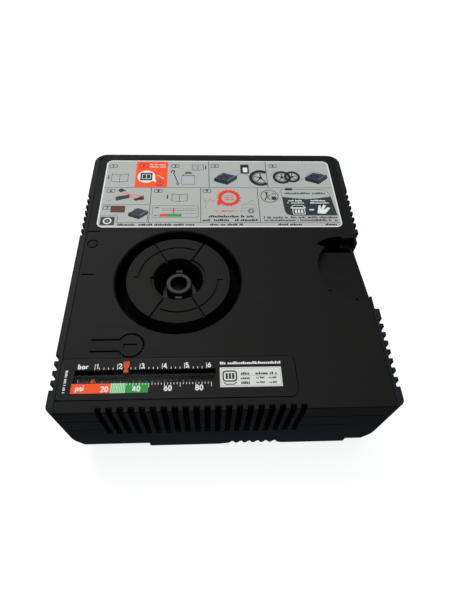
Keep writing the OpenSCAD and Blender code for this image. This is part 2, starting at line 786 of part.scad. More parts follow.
// Red slider that the user sets to the wanted pressure
module target_marker() {
    stem = [marker_slot_y[0] + 0.5, marker_slot_y[1] - 0.5];
    tip_y = marker_slot_y[1] - 0.6;
    color("#e0482c") {
        translate([marker_x, 0, body_h + 0.05]) linear_extrude(0.9)
            polygon([[-0.5, tip_y], [0.5, tip_y], [1.65, tip_y + 2.2], [1.65, tip_y + 5.2],
                [-1.65, tip_y + 5.2], [-1.65, tip_y + 2.2]]);
        block([marker_x - 1.2, stem[0], cover_under - 1.2], [marker_x + 1.2, stem[1], body_h + 0.95]);
    }
}

// Clip that holds the slider from below
module marker_clip() {
    color("#2a2c2f") difference() {
        block([marker_x - 2.6, marker_slot_y[0] + 0.1, cover_under - 1.2],
            [marker_x + 2.6, marker_slot_y[1] + 1.2, cover_under - 0.2]);
        block([marker_x - 1.2, marker_slot_y[0] + 0.5, cover_under - 2],
            [marker_x + 1.2, marker_slot_y[1] - 0.5, cover_under + 1]);
    }
}

/* Air release */

module release_button() {
    hinge_z = body_h - button_t / 2;
    root = 0.15;
    color("#26282b") difference() {
        union() {
            rod_along_z(body_h - button_t, body_h, button, button_r);
            block([tongue_x + button_t / 2 + root, button[1] - tongue_w / 2, body_h - button_t],
                [button[0], button[1] + tongue_w / 2, body_h]);
            translate([tongue_x + button_t / 2 + root, button[1] - tongue_w / 2, hinge_z])
                rotate([-90, 0, 0]) cylinder(h = tongue_w, r = button_t / 2);
        }
        // The mark on the pad
        block([button[0] - 4.1, button[1] + 0.5 - mark_w / 2, body_h - mark_d],
            [button[0] + 3.6, button[1] + 0.5 + mark_w / 2, body_h + 1]);
        block([button[0] - 4.1, button[1] - 1.6, body_h - mark_d],
            [button[0] - 4.1 + mark_w, button[1] + 0.5, body_h + 1]);
    }
}

module valve_block() {
    bore = plunger_r + run_fit;
    color("#c9cbcd") difference() {
        union() {
            block([block_x[0], block_y[0], block_z[0]], [block_x[1], block_y[1], block_z[1]]);
            rod_along_z(block_z[1] - tiny, block_z[1] + block_boss_h, button, 2 * plunger_r);
            // Barbs: pump and outlet to the right, dock to the back, gauge to the left
            for (dy = [-4, 4]) translate([block_x[1] - tiny, button[1] + dy, barb_z])
                rotate([0, 90, 0]) barb(barb_r, barb_l);
            translate([button[0], block_y[1] - tiny, barb_z]) rotate([-90, 0, 0])
                barb(barb_r, barb_l);
            translate([block_x[0] + tiny, button[1], barb_z]) rotate([0, -90, 0])
                barb(small_barb_r, small_barb_l);
        }
        rod_along_z(barb_z - 2, block_z[1] + block_boss_h + 1, button, bore);
        for (dy = [-4, 4])
            rod_along_x(button[0] - 1, block_x[1] + 8, button[1] + dy, barb_z, barb_bore_r);
        rod_along_y(button[1] - 5, block_y[1] + 8, button[0], barb_z, barb_bore_r);
        rod_along_x(block_x[0] - 7, button[0], button[1], barb_z, small_bore_r);
        // Screw holes through the block
        for (p = block_screws)
            rod_along_z(block_z[0] - 1, block_z[1] + 1, p, block_screw_r + 0.15);
    }
}

// Two screws that hold the block on its posts
module valve_block_screws() {
    color("#9a9da1") for (p = block_screws)
        translate([p[0], p[1], block_z[1] + 1.6]) mirror([0, 0, 1])
            screw(block_screw_r, 2.3, 1.6, 20);
}

// Plunger with its cap, and a nub that the pad pushes
module valve_plunger() {
    color("#d9dad7") {
        rod_along_z(block_z[1] - 6, block_z[1] + block_boss_h - 0.1, button, plunger_r);
        rod_along_z(block_z[1] + block_boss_h - 0.2, cap_top, button, plunger_stem_r);
        rod_along_z(cap_top - cap_t, cap_top, button, plunger_cap_r);
        rod_along_z(cap_top - tiny, plunger_top, button, 1.5);
    }
}

module valve_plunger_seal() {
    color("#1a1a1a") rod_along_z(block_z[1] - 7, block_z[1] - 6, button, plunger_r - 0.4);
}

// Return spring between the block and the plunger's cap
module valve_spring() {
    coil_wire_r = 0.3;
    coil_r = 3.2;
    turns = 4;
    per_turn = 12;
    z0 = block_z[1] + block_boss_h + coil_wire_r;
    z1 = cap_top - cap_t - coil_wire_r;
    n = turns * per_turn;
    color("#b9bcc0") tube([for (i = [0:n]) [button[0] + coil_r * cos(360 * i / per_turn),
        button[1] + coil_r * sin(360 * i / per_turn), z0 + (z1 - z0) * i / n]], coil_wire_r, 6);
}

/* Bottle dock */

// Half-section turned round the dock's axis
module turned(points) {
    translate([dock[0], dock[1], 0]) rotate_extrude($fn = 96) polygon(points);
}

// Outer wall, groove floor and hub cup, clipped under the cover
module dock_trough() {
    outer = dock_r + trough_wall;
    cup = hub_r + trough_wall;
    under = groove_floor - trough_t;
    color("#17181a") difference() {
        union() {
            turned([[dock_r, cover_under], [dock_r, groove_floor], [hub_r, groove_floor],
                [hub_r, hub_floor], [stem_r, hub_floor], [stem_r, hub_floor - trough_t],
                [cup, hub_floor - trough_t], [cup, under], [outer, under],
                [outer, cover_under - 2], [dock_flange_r, cover_under - 2],
                [dock_flange_r, cover_under]]);
            for (e = ears) rod_along_z(cover_under - boss_h - 2, cover_under - boss_h, e, ear_size);
        }
        for (e = ears) {
            rod_along_z(cover_under - boss_h, cover_under + 1, e, ear_size + 0.1);
            rod_along_z(cover_under - 5, cover_under, e, 1.1);
        }
    }
}

// Raised disc with its sloping side, the hub sleeve, slits and engraved arcs
spoke_w = 1.1;
module dock_disc() {
    skin = 2.4;
    color("#26282b") difference() {
        union() {
            turned([[hub_r, body_h - 0.6], [hub_r + 0.6, body_h], [disc_r, body_h],
                [disc_foot_r, groove_floor], [disc_foot_r - skin, groove_floor],
                [disc_r - skin, body_h - skin], [hub_r + skin, body_h - skin],
                [hub_r + skin, groove_floor], [hub_r, groove_floor]]);
        }
        for (a = [60, 120, 240, 300]) translate([dock[0], dock[1], body_h - 1.6])
            rotate([0, 0, a]) translate([hub_r - 1, -spoke_w / 2, 0])
                cube([disc_r - hub_r + 3, spoke_w, 3]);
        // Two turning arrows, each an arc with a tick at its end
        for (a = [0, 180]) translate([dock[0], dock[1], body_h - mark_d]) rotate([0, 0, a]) {
            rotate([0, 0, 65]) rotate_extrude(angle = 113) translate([arc_r, 0])
                square([mark_w, 2]);
            rotate([0, 0, 177.6]) translate([arc_r + mark_w / 2, -mark_w / 2, 0])
                cube([3, mark_w, 2]);
        }
        // Two shallow bayonet ledges round the hub well
        for (a = [-5, 175]) translate([dock[0], dock[1], body_h - 1.4]) rotate([0, 0, a])
            rotate_extrude(angle = 68) translate([hub_r - 1, 0]) square([2.8, 3]);
    }
}

// Screws that hold the trough up to the cover
module dock_screws() {
    color("#8b8f94") for (e = ears)
        translate([e[0], e[1], cover_under - boss_h - 3.6]) screw(1, 2, 1.6, 4.6);
}

module bottle_spigot() {
    base = hub_floor + gasket_t;
    color("#2b2d30") difference() {
        union() {
            rod_along_z(base, base + flange_t, dock, 11);
            rod_along_z(base + flange_t - tiny, spigot_top - 0.6, dock, spigot_r);
            translate([dock[0], dock[1], spigot_top - 0.6])
                cylinder(h = 0.6, r1 = spigot_r, r2 = spigot_r - 0.6);
            rod_along_z(hub_floor - trough_t - 7, base + tiny, dock, stem_r - 0.2);
            // Elbow with its barb towards the valve block
            block([dock[0] - 4, dock[1] - 4, outlet_z - 4],
                [dock[0] + 4, dock[1] + 4, hub_floor - trough_t - 7 + tiny]);
            translate([dock[0] - 4 + tiny, dock[1], outlet_z]) rotate([0, -90, 0])
                barb(barb_r, barb_l);
            // Key lugs on the flange, front and back
            for (s = [0, 180]) translate([dock[0], dock[1], base + 1]) rotate([0, 0, s])
                translate([-lug_w / 2, lug_r[0], 0])
                    cube([lug_w, lug_r[1] - lug_r[0], spigot_top - base - 2]);
        }
        rod_along_z(spigot_top - 9, spigot_top + 1, dock, spigot_bore_r);
        rod_along_z(outlet_z, spigot_top, dock, 1.2);
        rod_along_x(dock[0] - 14, dock[0], dock[1], outlet_z, barb_bore_r);
    }
}

module spigot_gasket() {
    color("#141414") difference() {
        rod_along_z(hub_floor, hub_floor + gasket_t, dock, 10);
        rod_along_z(hub_floor - 1, hub_floor + 2, dock, stem_r);
    }
}

module spigot_nut() {
    top = hub_floor - trough_t;
    color("#c9a24a") difference() {
        translate([dock[0], dock[1], top - 4]) cylinder(h = 4, r = 8.5, $fn = 6);
        rod_along_z(top - 5, top + 1, dock, stem_r - 0.2);
    }
}

/* Hose bay */

module hose_bay() {
    w = bay_wall;
    color("#17181a") difference() {
        union() {
            block([bay_x[0] - w, bay_y[0] - w, bay_floor - w],
                [right - seam_gap, bay_y[1] + w, bay_roof]);
            block([bay_x[0] - w, bay_mouth - w, bay_roof - tiny],
                [right - seam_gap, bay_y[1] + w, cover_under]);
        }
        block([bay_x[0], bay_y[0], bay_floor], [bay_x[1], bay_y[1], bay_roof - w]);
        translate([0, 0, bay_roof - w - 1]) linear_extrude(30) bay_outline();
        scoop_shape(w, body_h);
        rod_along_z(bay_floor - w - 1, bay_floor + 1, nipple, nipple_r + 0.2);
        rod_along_z(bay_floor - w - 1, bay_floor + 1, gland, gland_neck_r);
    }
}

module hose_outlet() {
    color("#b9bcc0") difference() {
        union() {
            rod_along_z(bay_floor + 1.6, bay_floor + 1.6 + nipple_l, nipple, nipple_r);
            rod_along_z(bay_floor, bay_floor + 1.6 + tiny, nipple, 4);
            rod_along_z(outlet_z - 3.5, bay_floor + tiny, nipple, nipple_r);
            block([nipple[0] - outlet_half, nipple[1] - outlet_half, outlet_z - 3.5],
                [nipple[0] + outlet_half, nipple[1] + outlet_half, outlet_z + 2.6]);
            translate([nipple[0], nipple[1] - outlet_half + tiny, outlet_z]) rotate([90, 0, 0])
                barb(barb_r, barb_l);
        }
        rod_along_z(outlet_z, bay_floor + 12, nipple, 1.2);
        rod_along_y(nipple[1] - outlet_half - barb_l - 1, nipple[1], nipple[0], outlet_z,
            barb_bore_r);
    }
}

module outlet_nut() {
    top = bay_floor - bay_wall;
    color("#c9a24a") difference() {
        translate([nipple[0], nipple[1], top - 3]) cylinder(h = 3, r = 5, $fn = 6);
        rod_along_z(top - 4, top + 1, nipple, nipple_r);
    }
}

// Rubber ring that the supply lead passes through
module cable_gland() {
    color("#161616") difference() {
        union() {
            rod_along_z(bay_floor, bay_floor + 2.5, gland, gland_lip_r);
            rod_along_z(bay_floor - bay_wall - 2.5, bay_floor + tiny, gland, gland_neck_r);
            rod_along_z(bay_floor - bay_wall - 2.5, bay_floor - bay_wall, gland, gland_lip_r);
        }
        rod_along_z(bay_floor - bay_wall - 4, bay_floor + 4, gland, gland_bore_r);
    }
}

/* Switch */

module switch_body() {
    face = outer_left + pocket_depth;
    half = [switch_size[1] / 2, switch_size[2] / 2];
    color("#1c1d1f") difference() {
        union() {
            block([face - 1.5, switch_y - half[0] - 2, switch_z - half[1] - 2],
                [face, switch_y + half[0] + 2, switch_z + half[1] + 2]);
            block([face - tiny, switch_y - half[0], switch_z - half[1]],
                [face + switch_size[0], switch_y + half[0], switch_z + half[1]]);
        }
        block([face - 3, switch_y - 10.8, switch_z - 4.9],
            [face + 8, switch_y + 10.8, switch_z + 4.9]);
        rod_along_z(switch_z - 6, switch_z + 6, rocker_pivot, 1 + run_fit);
    }
}

// Rocker, at rest with its back end pressed in
module switch_rocker() {
    color("#202225") translate([rocker_pivot[0], rocker_pivot[1], 0])
        rotate([0, 0, -rocker_tilt]) {
            difference() {
                translate([0, 0, switch_z - 4.6]) linear_extrude(9.2)
                    polygon([[-2.9, -9.9], [-2.2, 0], [-2.9, 9.9], [1, 9.9], [2.4, 3],
                        [3.4, 0], [2.4, -3], [1, -9.9]]);
                // Bar and ring marks on its two ends
                translate([-3.2, -6.5, switch_z - 2]) cube([0.9, 0.6, 4]);
                translate([-2.4, 6.4, switch_z]) rotate([0, -90, 0]) difference() {
                    cylinder(h = 2, r = 2);
                    translate([0, 0, -1]) cylinder(h = 4, r = 1.4);
                }
            }
            rod_along_z(switch_z - 5.9, switch_z + 5.9, [0, 0], 1);
        }
}

module switch_terminals() {
    face = outer_left + pocket_depth + switch_size[0];
    color("#c9a24a") for (dy = [-6, 6])
        block([face, switch_y + dy - 2.4, switch_z - 0.4], [face + 6, switch_y + dy + 2.4,
            switch_z + 0.4]);
}

/* Pump frame */

module pump_frame() {
    ring = bore_r + cyl_wall + run_fit;
    foot = frame_foot_z;
    color("#a9adb2") difference() {
        union() {
            block([frame_x, cross_y, foot], [frame_x + frame_t, frame_back, axis_z + 19]);
            block([frame_x, cross_y, foot], [frame_right, cross_y + 3, axis_z + 18]);
            block([frame_x - 12, cross_y, foot], [frame_right, frame_back, foot + 2]);
        }
        rod_along_x(frame_x - 1, frame_x + 9, motor_y, axis_z, 5);
        rod_along_x(frame_x - 1, frame_x + 9, crank_y, axis_z, axle_r);
        for (dz = [-12, 12]) rod_along_x(frame_x - 1, frame_x + 9, motor_y, axis_z + dz, 1.5);
        rod_along_y(cross_y - 1, cross_y + 4, bore_x, axis_z, ring);
        for (dz = [-14.8, 14.8]) rod_along_y(cross_y - 1, cross_y + 4, bore_x, axis_z + dz, 1.25);
        for (p = pump_feet) rod_along_z(foot - 1, foot + 4, p, 2.2);
    }
}

// Rubber rings under the frame's four feet
module pump_grommets() {
    color("#161616") for (p = pump_feet) difference() {
        rod_along_z(frame_foot_z - 2.5, frame_foot_z, p, 4.6);
        rod_along_z(frame_foot_z - 4, frame_foot_z + 1, p, 2.2);
    }
}

// Screws through the feet, the motor face and the cylinder flange
module pump_screws() {
    color("#8b8f94") {
        for (p = pump_feet) translate([p[0], p[1], frame_foot_z + 4]) mirror([0, 0, 1])
            screw(screw_r, screw_head_r, 2, frame_foot_z + 2 - skid_h - 1.3);
        for (dz = [-12, 12]) translate([frame_x + frame_t + 1.5, motor_y, axis_z + dz])
            rotate([0, -90, 0]) screw(1.5, 2.5, 1.5, 4.4);
        for (dz = [-14.8, 14.8]) translate([bore_x, cross_y + 4.8, axis_z + dz])
            rotate([90, 0, 0]) screw(1.25, 2.2, 1.8, 5.8);
    }
}

/* Motor */

module motor_can() {
    color("#9ea2a6") difference() {
        rod_along_x(can_x[0], can_x[1], motor_y, axis_z, motor_r);
        rod_along_x(can_x[0] - 1, can_x[1] - 1.5, motor_y, axis_z, motor_r - 1.5);
        rod_along_x(can_x[1] - 5, can_x[1] + 5, motor_y, axis_z, 4.5);
        for (dz = [-12, 12]) rod_along_x(can_x[1] - 3, can_x[1] + 3, motor_y, axis_z + dz, 1.5);
    }
}

module motor_magnets() {
    inner = motor_r - 4.6;
    outer = motor_r - 1.52;
    color("#4a4a4c") for (a = [0, 180]) translate([can_x[0] + 10, motor_y, axis_z])
        rotate([90, 0, 90]) rotate([0, 0, a - 65]) rotate_extrude(angle = 130, $fn = 48)
            translate([inner, 0]) square([outer - inner, motor_l - 18]);
}

module motor_end_cap() {
    color("#26282b") difference() {
        union() {
            rod_along_x(can_x[0] - 3, can_x[0], motor_y, axis_z, motor_r);
            rod_along_x(can_x[0] - tiny, can_x[0] + 3, motor_y, axis_z, motor_r - 1.5);
        }
        rod_along_x(can_x[0] - 5, can_x[0] + 5, motor_y, axis_z, 4.5);
    }
}

module motor_terminals() {
    color("#c9a24a") for (s = [-1, 1])
        block([can_x[0] - 6.6, motor_y - 1.7, axis_z + s * 12.5 - 0.3],
            [can_x[0] - 3, motor_y + 1.7, axis_z + s * 12.5 + 0.3]);
}

// Sintered bushes at the two ends
module motor_bushes() {
    color("#b08d4c") difference() {
        union() {
            rod_along_x(can_x[0] - 3, can_x[0] + 2, motor_y, axis_z, 4.5);
            rod_along_x(can_x[1] - 3, can_x[1] + 2, motor_y, axis_z, 4.5);
        }
        rod_along_x(can_x[0] - 9, can_x[1] + 9, motor_y, axis_z, shaft_r + run_fit);
    }
}

// Slotted iron stack with its commutator
module motor_rotor() {
    outer = motor_r - 5.4;
    slots = 5;
    color("#7a5a3c") difference() {
        union() {
            rod_along_x(can_x[0] + 16, can_x[0] + 44, motor_y, axis_z, outer);
            rod_along_x(can_x[0] + 4, can_x[0] + 16 + tiny, motor_y, axis_z, 5);
        }
        for (k = [0:slots - 1]) translate([can_x[0] + 15, motor_y, axis_z])
            rotate([360 * k / slots, 0, 0]) translate([0, -1.2, outer - 5]) cube([30, 2.4, 8]);
        rod_along_x(can_x[0], can_x[1], motor_y, axis_z, shaft_r);
    }
}

module motor_shaft() {
    color("#c7c9cc") rod_along_x(can_x[0] - 16, gear_x + gear_w + 1, motor_y, axis_z, shaft_r);
}

module cooling_fan() {
    hub = 4;
    blades = 7;
    color("#1c1d1f") difference() {
        union() {
            rod_along_x(can_x[0] - 15, can_x[0] - 7.6, motor_y, axis_z, hub);
            for (k = [0:blades - 1]) translate([can_x[0] - 11.3, motor_y, axis_z])
                rotate([360 * k / blades, 0, 0]) rotate([0, 0, 32])
                    translate([-0.7, -3.6, hub - 1.5]) cube([1.4, 7.2, motor_r - hub - 1]);
        }
        rod_along_x(can_x[0] - 20, can_x[0], motor_y, axis_z, shaft_r);
    }
}

module motor_pinion() {
    color("#c9a24a") difference() {
        translate([gear_x - 0.5, motor_y, axis_z]) rotate([90, 0, 90])
            linear_extrude(gear_w + 1) gear_outline(pinion_teeth, 180 - 180 / pinion_teeth);
        rod_along_x(gear_x - 2, gear_x + gear_w + 2, motor_y, axis_z, shaft_r);
    }
}

/* Crank and piston */

// Fixed axle with a shoulder and a head that keep the gear in place
module crank_axle() {
    color("#b4b7bb") {
        rod_along_x(frame_x, gear_x + gear_w + 1.6, crank_y, axis_z, axle_r);
        rod_along_x(frame_x + frame_t, gear_x - 0.2, crank_y, axis_z, 5);
        rod_along_x(gear_x + gear_w + 0.2, gear_x + gear_w + 1.6, crank_y, axis_z, axle_head_r);
    }
}

module crank_gear() {
    color("#e3dfd2") difference() {
        translate([gear_x, crank_y, axis_z]) rotate([90, 0, 90]) linear_extrude(gear_w)
            gear_outline(crank_teeth, 180);
        rod_along_x(gear_x - 1, gear_x + gear_w + 1, crank_y, axis_z, axle_r + run_fit);
        rod_along_x(gear_x + gear_w - 3, gear_x + gear_w + 1, crank_y - crank_throw, axis_z,
            crank_pin_r);
        // Lightening pockets opposite the crank pin
        for (a = [-38, 0, 38]) translate([gear_x + gear_w - 2.5, crank_y, axis_z])
            rotate([a, 0, 0]) translate([0, 12.2, 0]) rotate([0, 90, 0]) cylinder(h = 4, r = 3);
    }
}

module crank_pin() {
    color("#b4b7bb") rod_along_x(gear_x + gear_w - 3, pin_end, crank_y - crank_throw, axis_z,
        crank_pin_r);
}

// Connecting rod in one piece with the piston
module piston_rod() {
    big_end = crank_y - crank_throw;
    color("#d8d5c8") difference() {
        union() {
            rod_along_y(crown_y, crown_y + 1.2, bore_x, axis_z, bore_r - 0.6);
            rod_along_y(crown_y, crown_y + piston_t, bore_x, axis_z, bore_r - 2.6);
            rod_along_y(crown_y + 2.6, crown_y + piston_t, bore_x, axis_z, bore_r - 0.6);
            block([rod_x, crown_y + piston_t - tiny, axis_z - 4],
                [rod_x + rod_w, big_end - 4, axis_z + 4]);
            rod_along_x(rod_x, rod_x + rod_w, big_end, axis_z, 6.4);
        }
        rod_along_x(rod_x - 1, rod_x + rod_w + 1, big_end, axis_z, crank_pin_r + run_fit);
        // Web pockets in the shank
        for (s = [-1, 1])
            block([bore_x + (s < 0 ? -9 : 1), crown_y + piston_t + 4, axis_z - 2],
                [bore_x + (s < 0 ? -1 : 9), big_end - 8, axis_z + 2]);
    }
}

module piston_cup() {
    color("#e8e6df") difference() {
        rod_along_y(crown_y + 1.2, crown_y + 2.6, bore_x, axis_z, bore_r - run_fit);
        rod_along_y(crown_y, crown_y + 4, bore_x, axis_z, bore_r - 2.6);
    }
}

// Square plate round the bore axis, from y0 to y1
module bore_square(y0, y1) {
    block([bore_x - cyl_square / 2, y0, axis_z - cyl_square / 2],
        [bore_x + cyl_square / 2, y1, axis_z + cyl_square / 2]);
}

// Four corner holes or screws round the bore axis
module corner_holes(y0, y1, r) {
    for (sx = [-1, 1], sz = [-1, 1])
        rod_along_y(y0, y1, bore_x + sx * 13.8, axis_z + sz * 13.8, r);
}

module cylinder_part() {
    color("#b9bcc0") difference() {
        union() {
            rod_along_y(cyl_top_y, cyl_end_y, bore_x, axis_z, bore_r + cyl_wall);
            bore_square(cyl_top_y, cyl_top_y + 3);
            bore_square(cross_y - 3, cross_y);
            for (k = [1:4]) rod_along_y(cyl_top_y + 2 + 2.6 * k, cyl_top_y + 3 + 2.6 * k,
                bore_x, axis_z, 16.6);
        }
        rod_along_y(cyl_top_y - 1, cyl_end_y + 1, bore_x, axis_z, bore_r);
        corner_holes(cyl_top_y - 1, cyl_top_y + 4, 1.4);
        for (dz = [-14.8, 14.8]) rod_along_y(cross_y - 4, cross_y + 1, bore_x, axis_z + dz, 1.25);
    }
}

module valve_plate() {
    color("#c7c9cc") difference() {
        bore_square(cyl_top_y - plate_t, cyl_top_y);
        corner_holes(cyl_top_y - 2, cyl_top_y + 1, 1.4);
        for (dz = [-4, 4]) rod_along_y(cyl_top_y - 2, cyl_top_y + 1, bore_x, axis_z + dz, 1.5);
    }
}

module head_gasket() {
    color("#1a1a1a") difference() {
        bore_square(head_front, head_front + head_gasket_t);
        corner_holes(head_front - 1, head_front + 2, 1.4);
        rod_along_y(head_front - 1, head_front + 2, bore_x, axis_z, 10);
    }
}

// Springy strip over the outlet hole
module reed_valve() {
    y1 = cyl_top_y - plate_t;
    color("#c7c9cc") block([bore_x - 2.2, y1 - 0.25, axis_z - 7], [bore_x + 2.2, y1, axis_z + 7]);
}

module cylinder_head() {
    y0 = head_front - head_t;
    color("#a9adb2") difference() {
        union() {
            bore_square(y0, head_front);
            translate([bore_x, y0 + tiny, axis_z]) rotate([90, 0, 0]) barb(barb_r, barb_l);
        }
        rod_along_y(head_front - 5, head_front + 1, bore_x, axis_z, 9);
        rod_along_y(y0 - barb_l - 1, head_front - 4, bore_x, axis_z, barb_bore_r);
        corner_holes(y0 - 1, head_front + 1, 1.4);
        // Cooling grooves across the head
        for (dx = [-9, -5.5, 5.5, 9])
            block([bore_x + dx - 0.7, y0 - 1, axis_z - 20], [bore_x + dx + 0.7, y0 + 3, axis_z + 20]);
    }
}

module head_screws() {
    y0 = head_front - head_t;
    color("#8b8f94") for (sx = [-1, 1], sz = [-1, 1])
        translate([bore_x + sx * 13.8, y0 - 1.8, axis_z + sz * 13.8]) rotate([-90, 0, 0])
            screw(1.4, 2.4, 1.8, head_t + head_gasket_t + plate_t + 3);
}

/* Hoses and wires */

module air_hoses() {
    color("#1d1d1f") {
        for (route = [pump_route, outlet_route, dock_route]) tube(route, hose_r, 8);
        tube(gauge_route, small_hose_r, 8);
    }
}

module supply_wires() {
    color("#b3261e") tube(plus_route, wire_r, 8);
    color("#141414") tube(minus_route, wire_r, 8);
}

module motor_wire() {
    color("#b3261e") tube(motor_route, wire_r, 8);
}

top_cover();
lower_housing();
case_screws();
label_sheet();
gauge_panel();
gauge_window();
info_plate();
gauge_tube();
gauge_inlet_plug();
gauge_spring_seat();
gauge_piston();
gauge_piston_ring();
gauge_spring();
target_marker();
marker_clip();
release_button();
valve_block();
valve_plunger();
valve_plunger_seal();
valve_spring();
valve_block_screws();
dock_trough();
dock_disc();
dock_screws();
bottle_spigot();
spigot_gasket();
spigot_nut();
hose_bay();
hose_outlet();
outlet_nut();
cable_gland();
switch_body();
switch_rocker();
switch_terminals();
pump_frame();
pump_grommets();
pump_screws();
motor_can();
motor_magnets();
motor_end_cap();
motor_terminals();
motor_bushes();
motor_rotor();
motor_shaft();
cooling_fan();
motor_pinion();
crank_axle();
crank_gear();
crank_pin();
piston_rod();
piston_cup();
cylinder_part();  // cylinder
valve_plate();
head_gasket();
reed_valve();
cylinder_head();
head_screws();
air_hoses();
supply_wires();
motor_wire();
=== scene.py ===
# %% [markdown]
# # A flat tyre inflator with a bottle dock
# The object is a square 12 V inflator moulded in black plastic: a cover with a round dock, a
# printed pressure gauge, a keyhole-shaped release tongue and a big instruction label, over a
# lower housing full of vent slots. The construction comes from the imported CAD model, at its
# real size. Here it gets its looks: the finish of every piece, the printing, the web at the root
# of the tongue, and two coil springs.

# %% Load the construction
import json
import math

import bpy
import numpy as np
from mathutils import Matrix, Vector


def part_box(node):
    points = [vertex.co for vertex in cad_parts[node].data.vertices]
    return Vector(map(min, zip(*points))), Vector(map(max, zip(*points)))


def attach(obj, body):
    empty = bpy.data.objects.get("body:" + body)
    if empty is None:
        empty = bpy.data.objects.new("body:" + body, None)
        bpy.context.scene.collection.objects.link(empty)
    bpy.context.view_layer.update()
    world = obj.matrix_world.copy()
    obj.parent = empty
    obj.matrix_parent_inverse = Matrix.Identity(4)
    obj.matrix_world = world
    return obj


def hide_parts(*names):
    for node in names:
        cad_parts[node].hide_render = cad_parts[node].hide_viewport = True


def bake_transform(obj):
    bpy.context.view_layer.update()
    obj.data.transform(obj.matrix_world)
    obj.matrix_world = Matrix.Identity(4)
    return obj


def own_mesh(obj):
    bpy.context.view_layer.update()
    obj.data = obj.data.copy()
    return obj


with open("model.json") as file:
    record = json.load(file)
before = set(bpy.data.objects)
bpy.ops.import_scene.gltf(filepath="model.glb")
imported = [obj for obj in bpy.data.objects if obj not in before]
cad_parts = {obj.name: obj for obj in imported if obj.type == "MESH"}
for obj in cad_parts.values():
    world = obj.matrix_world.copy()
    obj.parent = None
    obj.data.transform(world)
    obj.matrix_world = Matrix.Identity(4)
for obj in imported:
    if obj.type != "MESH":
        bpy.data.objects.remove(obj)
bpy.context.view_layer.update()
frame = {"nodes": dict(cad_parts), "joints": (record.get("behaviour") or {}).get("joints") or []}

MM = 0.001

# %% [markdown]
# Everything that is added has to land on the construction, so its places are measured from the
# CAD nodes and never typed in as absolute numbers. The useful corner is the front left corner
# of the cover: the gauge's scale is laid out in millimetres from there. Three small helpers for
# objects and meshes are made first, because every later step needs them.

# %% Where things are
def new_object(name, data):
    """An object that shows some data, linked into the scene at the origin."""
    made = bpy.data.objects.new(name, data)
    bpy.context.scene.collection.objects.link(made)
    return made


def new_mesh(name, points, faces):
    """A mesh from points in metres and faces, which are lists of corner numbers."""
    mesh = bpy.data.meshes.new(name)
    mesh.from_pydata(np.reshape(points, (-1, 3)).tolist(), [], [list(face) for face in faces])
    return mesh


def grid_faces(rows, closed=False):
    """Quads between neighbours in rows of corner numbers; closed joins each row's two ends."""
    if closed:
        rows = np.hstack([rows, rows[:, :1]])
    quads = np.stack([rows[:-1, :-1], rows[:-1, 1:], rows[1:, 1:], rows[1:, :-1]], -1)
    return quads.reshape(-1, 4).tolist()


cover_low, cover_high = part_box("top_cover")
SEAM = 0.15 * MM  # the cover stops this far short of the housing's rail
LEFT, FRONT, TOP = cover_low.x - SEAM, cover_low.y, cover_high.z


def from_corner(x, y):
    """A place on the top, in metres, from millimetres right of and behind the front left corner."""
    return LEFT + x * MM, FRONT + y * MM


print("cover front left corner at", round(LEFT / MM, 2), round(FRONT / MM, 2))

# %% [markdown]
# ## Camera
# The view is that of a person who stands at a table and leans over the inflator: well above it,
# a little to the left of its middle, with the camera tilted by a few degrees. A Track To
# constraint could aim it, but can't hold a tilt. Three turns can: sideways, down, and round the
# view itself.

# %% Camera
YAW, PITCH, ROLL = 4.72, 56.38, -3.37  # degrees to the right, down, and round the view
camera = new_object("camera", bpy.data.cameras.new("camera"))
camera.data.sensor_width = 36
camera.data.lens = 25.84  # a phone's wide lens, on a 36 mm sensor's long side
camera.data.clip_start, camera.data.clip_end = 0.01, 20
eye = Vector((*from_corner(78.7, -75.8), TOP + 217.5 * MM))
aim = Matrix.Translation(eye)
for degrees, axis in ((-YAW, "Z"), (90 - PITCH, "X"), (-ROLL, "Z")):
    aim = aim @ Matrix.Rotation(math.radians(degrees), 4, axis)
camera.matrix_world = aim
bpy.context.scene.camera = camera
print("camera is", round((eye - Vector((0, 0, TOP))).length, 3), "m from the middle of the top")

# %% [markdown]
# ## Studio
# A black object on a white table is lit softly from above and behind on the left, so that the
# top reads a little lighter than the front. Black plastic mostly shows what it mirrors: the
# table is kept out of its reflections, and the sky is a dim blue, or the front would look pale.

# %% Table, lamps and sky
def soft_lamp(name, place, aim, size, power):
    """An area lamp of that size in metres at place, turned towards aim."""
    lamp = bpy.data.lights.new(name, "AREA")
    lamp.shape, lamp.size, lamp.energy = "DISK", size, power
    holder = new_object(name, lamp)
    holder.location = place
    holder.rotation_euler = (Vector(aim) - Vector(place)).to_track_quat("-Z", "Y").to_euler()


soft_lamp("key_lamp", (-0.45, 0.75, 1.2), (0, 0, 0.05), 1.0, 14)
soft_lamp("fill_lamp", (0.2, 0.15, 1.75), (0, 0, 0), 1.6, 13)

sky = bpy.data.worlds.new("sky")
sky.use_nodes = True
for socket, value in {"Color": (0.72, 0.86, 1.0, 1), "Strength": 0.2}.items():
    sky.node_tree.nodes["Background"].inputs[socket].default_value = value
bpy.context.scene.world = sky
bpy.context.scene.view_settings.view_transform = "Standard"

TABLE_HALF = 4.0  # metres from its middle to each edge
BACKDROP_RADIUS = 3.8  # the backdrop stands inside the table's edge
corners = [(-1, -1, 0), (1, -1, 0), (1, 1, 0), (-1, 1, 0)]
table_top = new_object("table_top", new_mesh("table_top", TABLE_HALF * np.array(corners),
                                             [(0, 1, 2, 3)]))
table_top.location.z = -0.05 * MM  # a hair lower, so that it never fights the feet
table_top.visible_glossy = False
table_top.visible_diffuse = False

# %% [markdown]
# ## A small language for finishes
# A finish is a web of shader nodes. Wiring them by hand hides what the finish does, so a socket
# is wrapped in a class that knows arithmetic: `1 - grain * 0.3` adds its own Math nodes. All
# other nodes come from one method that takes the node's type, its settings and its inputs.

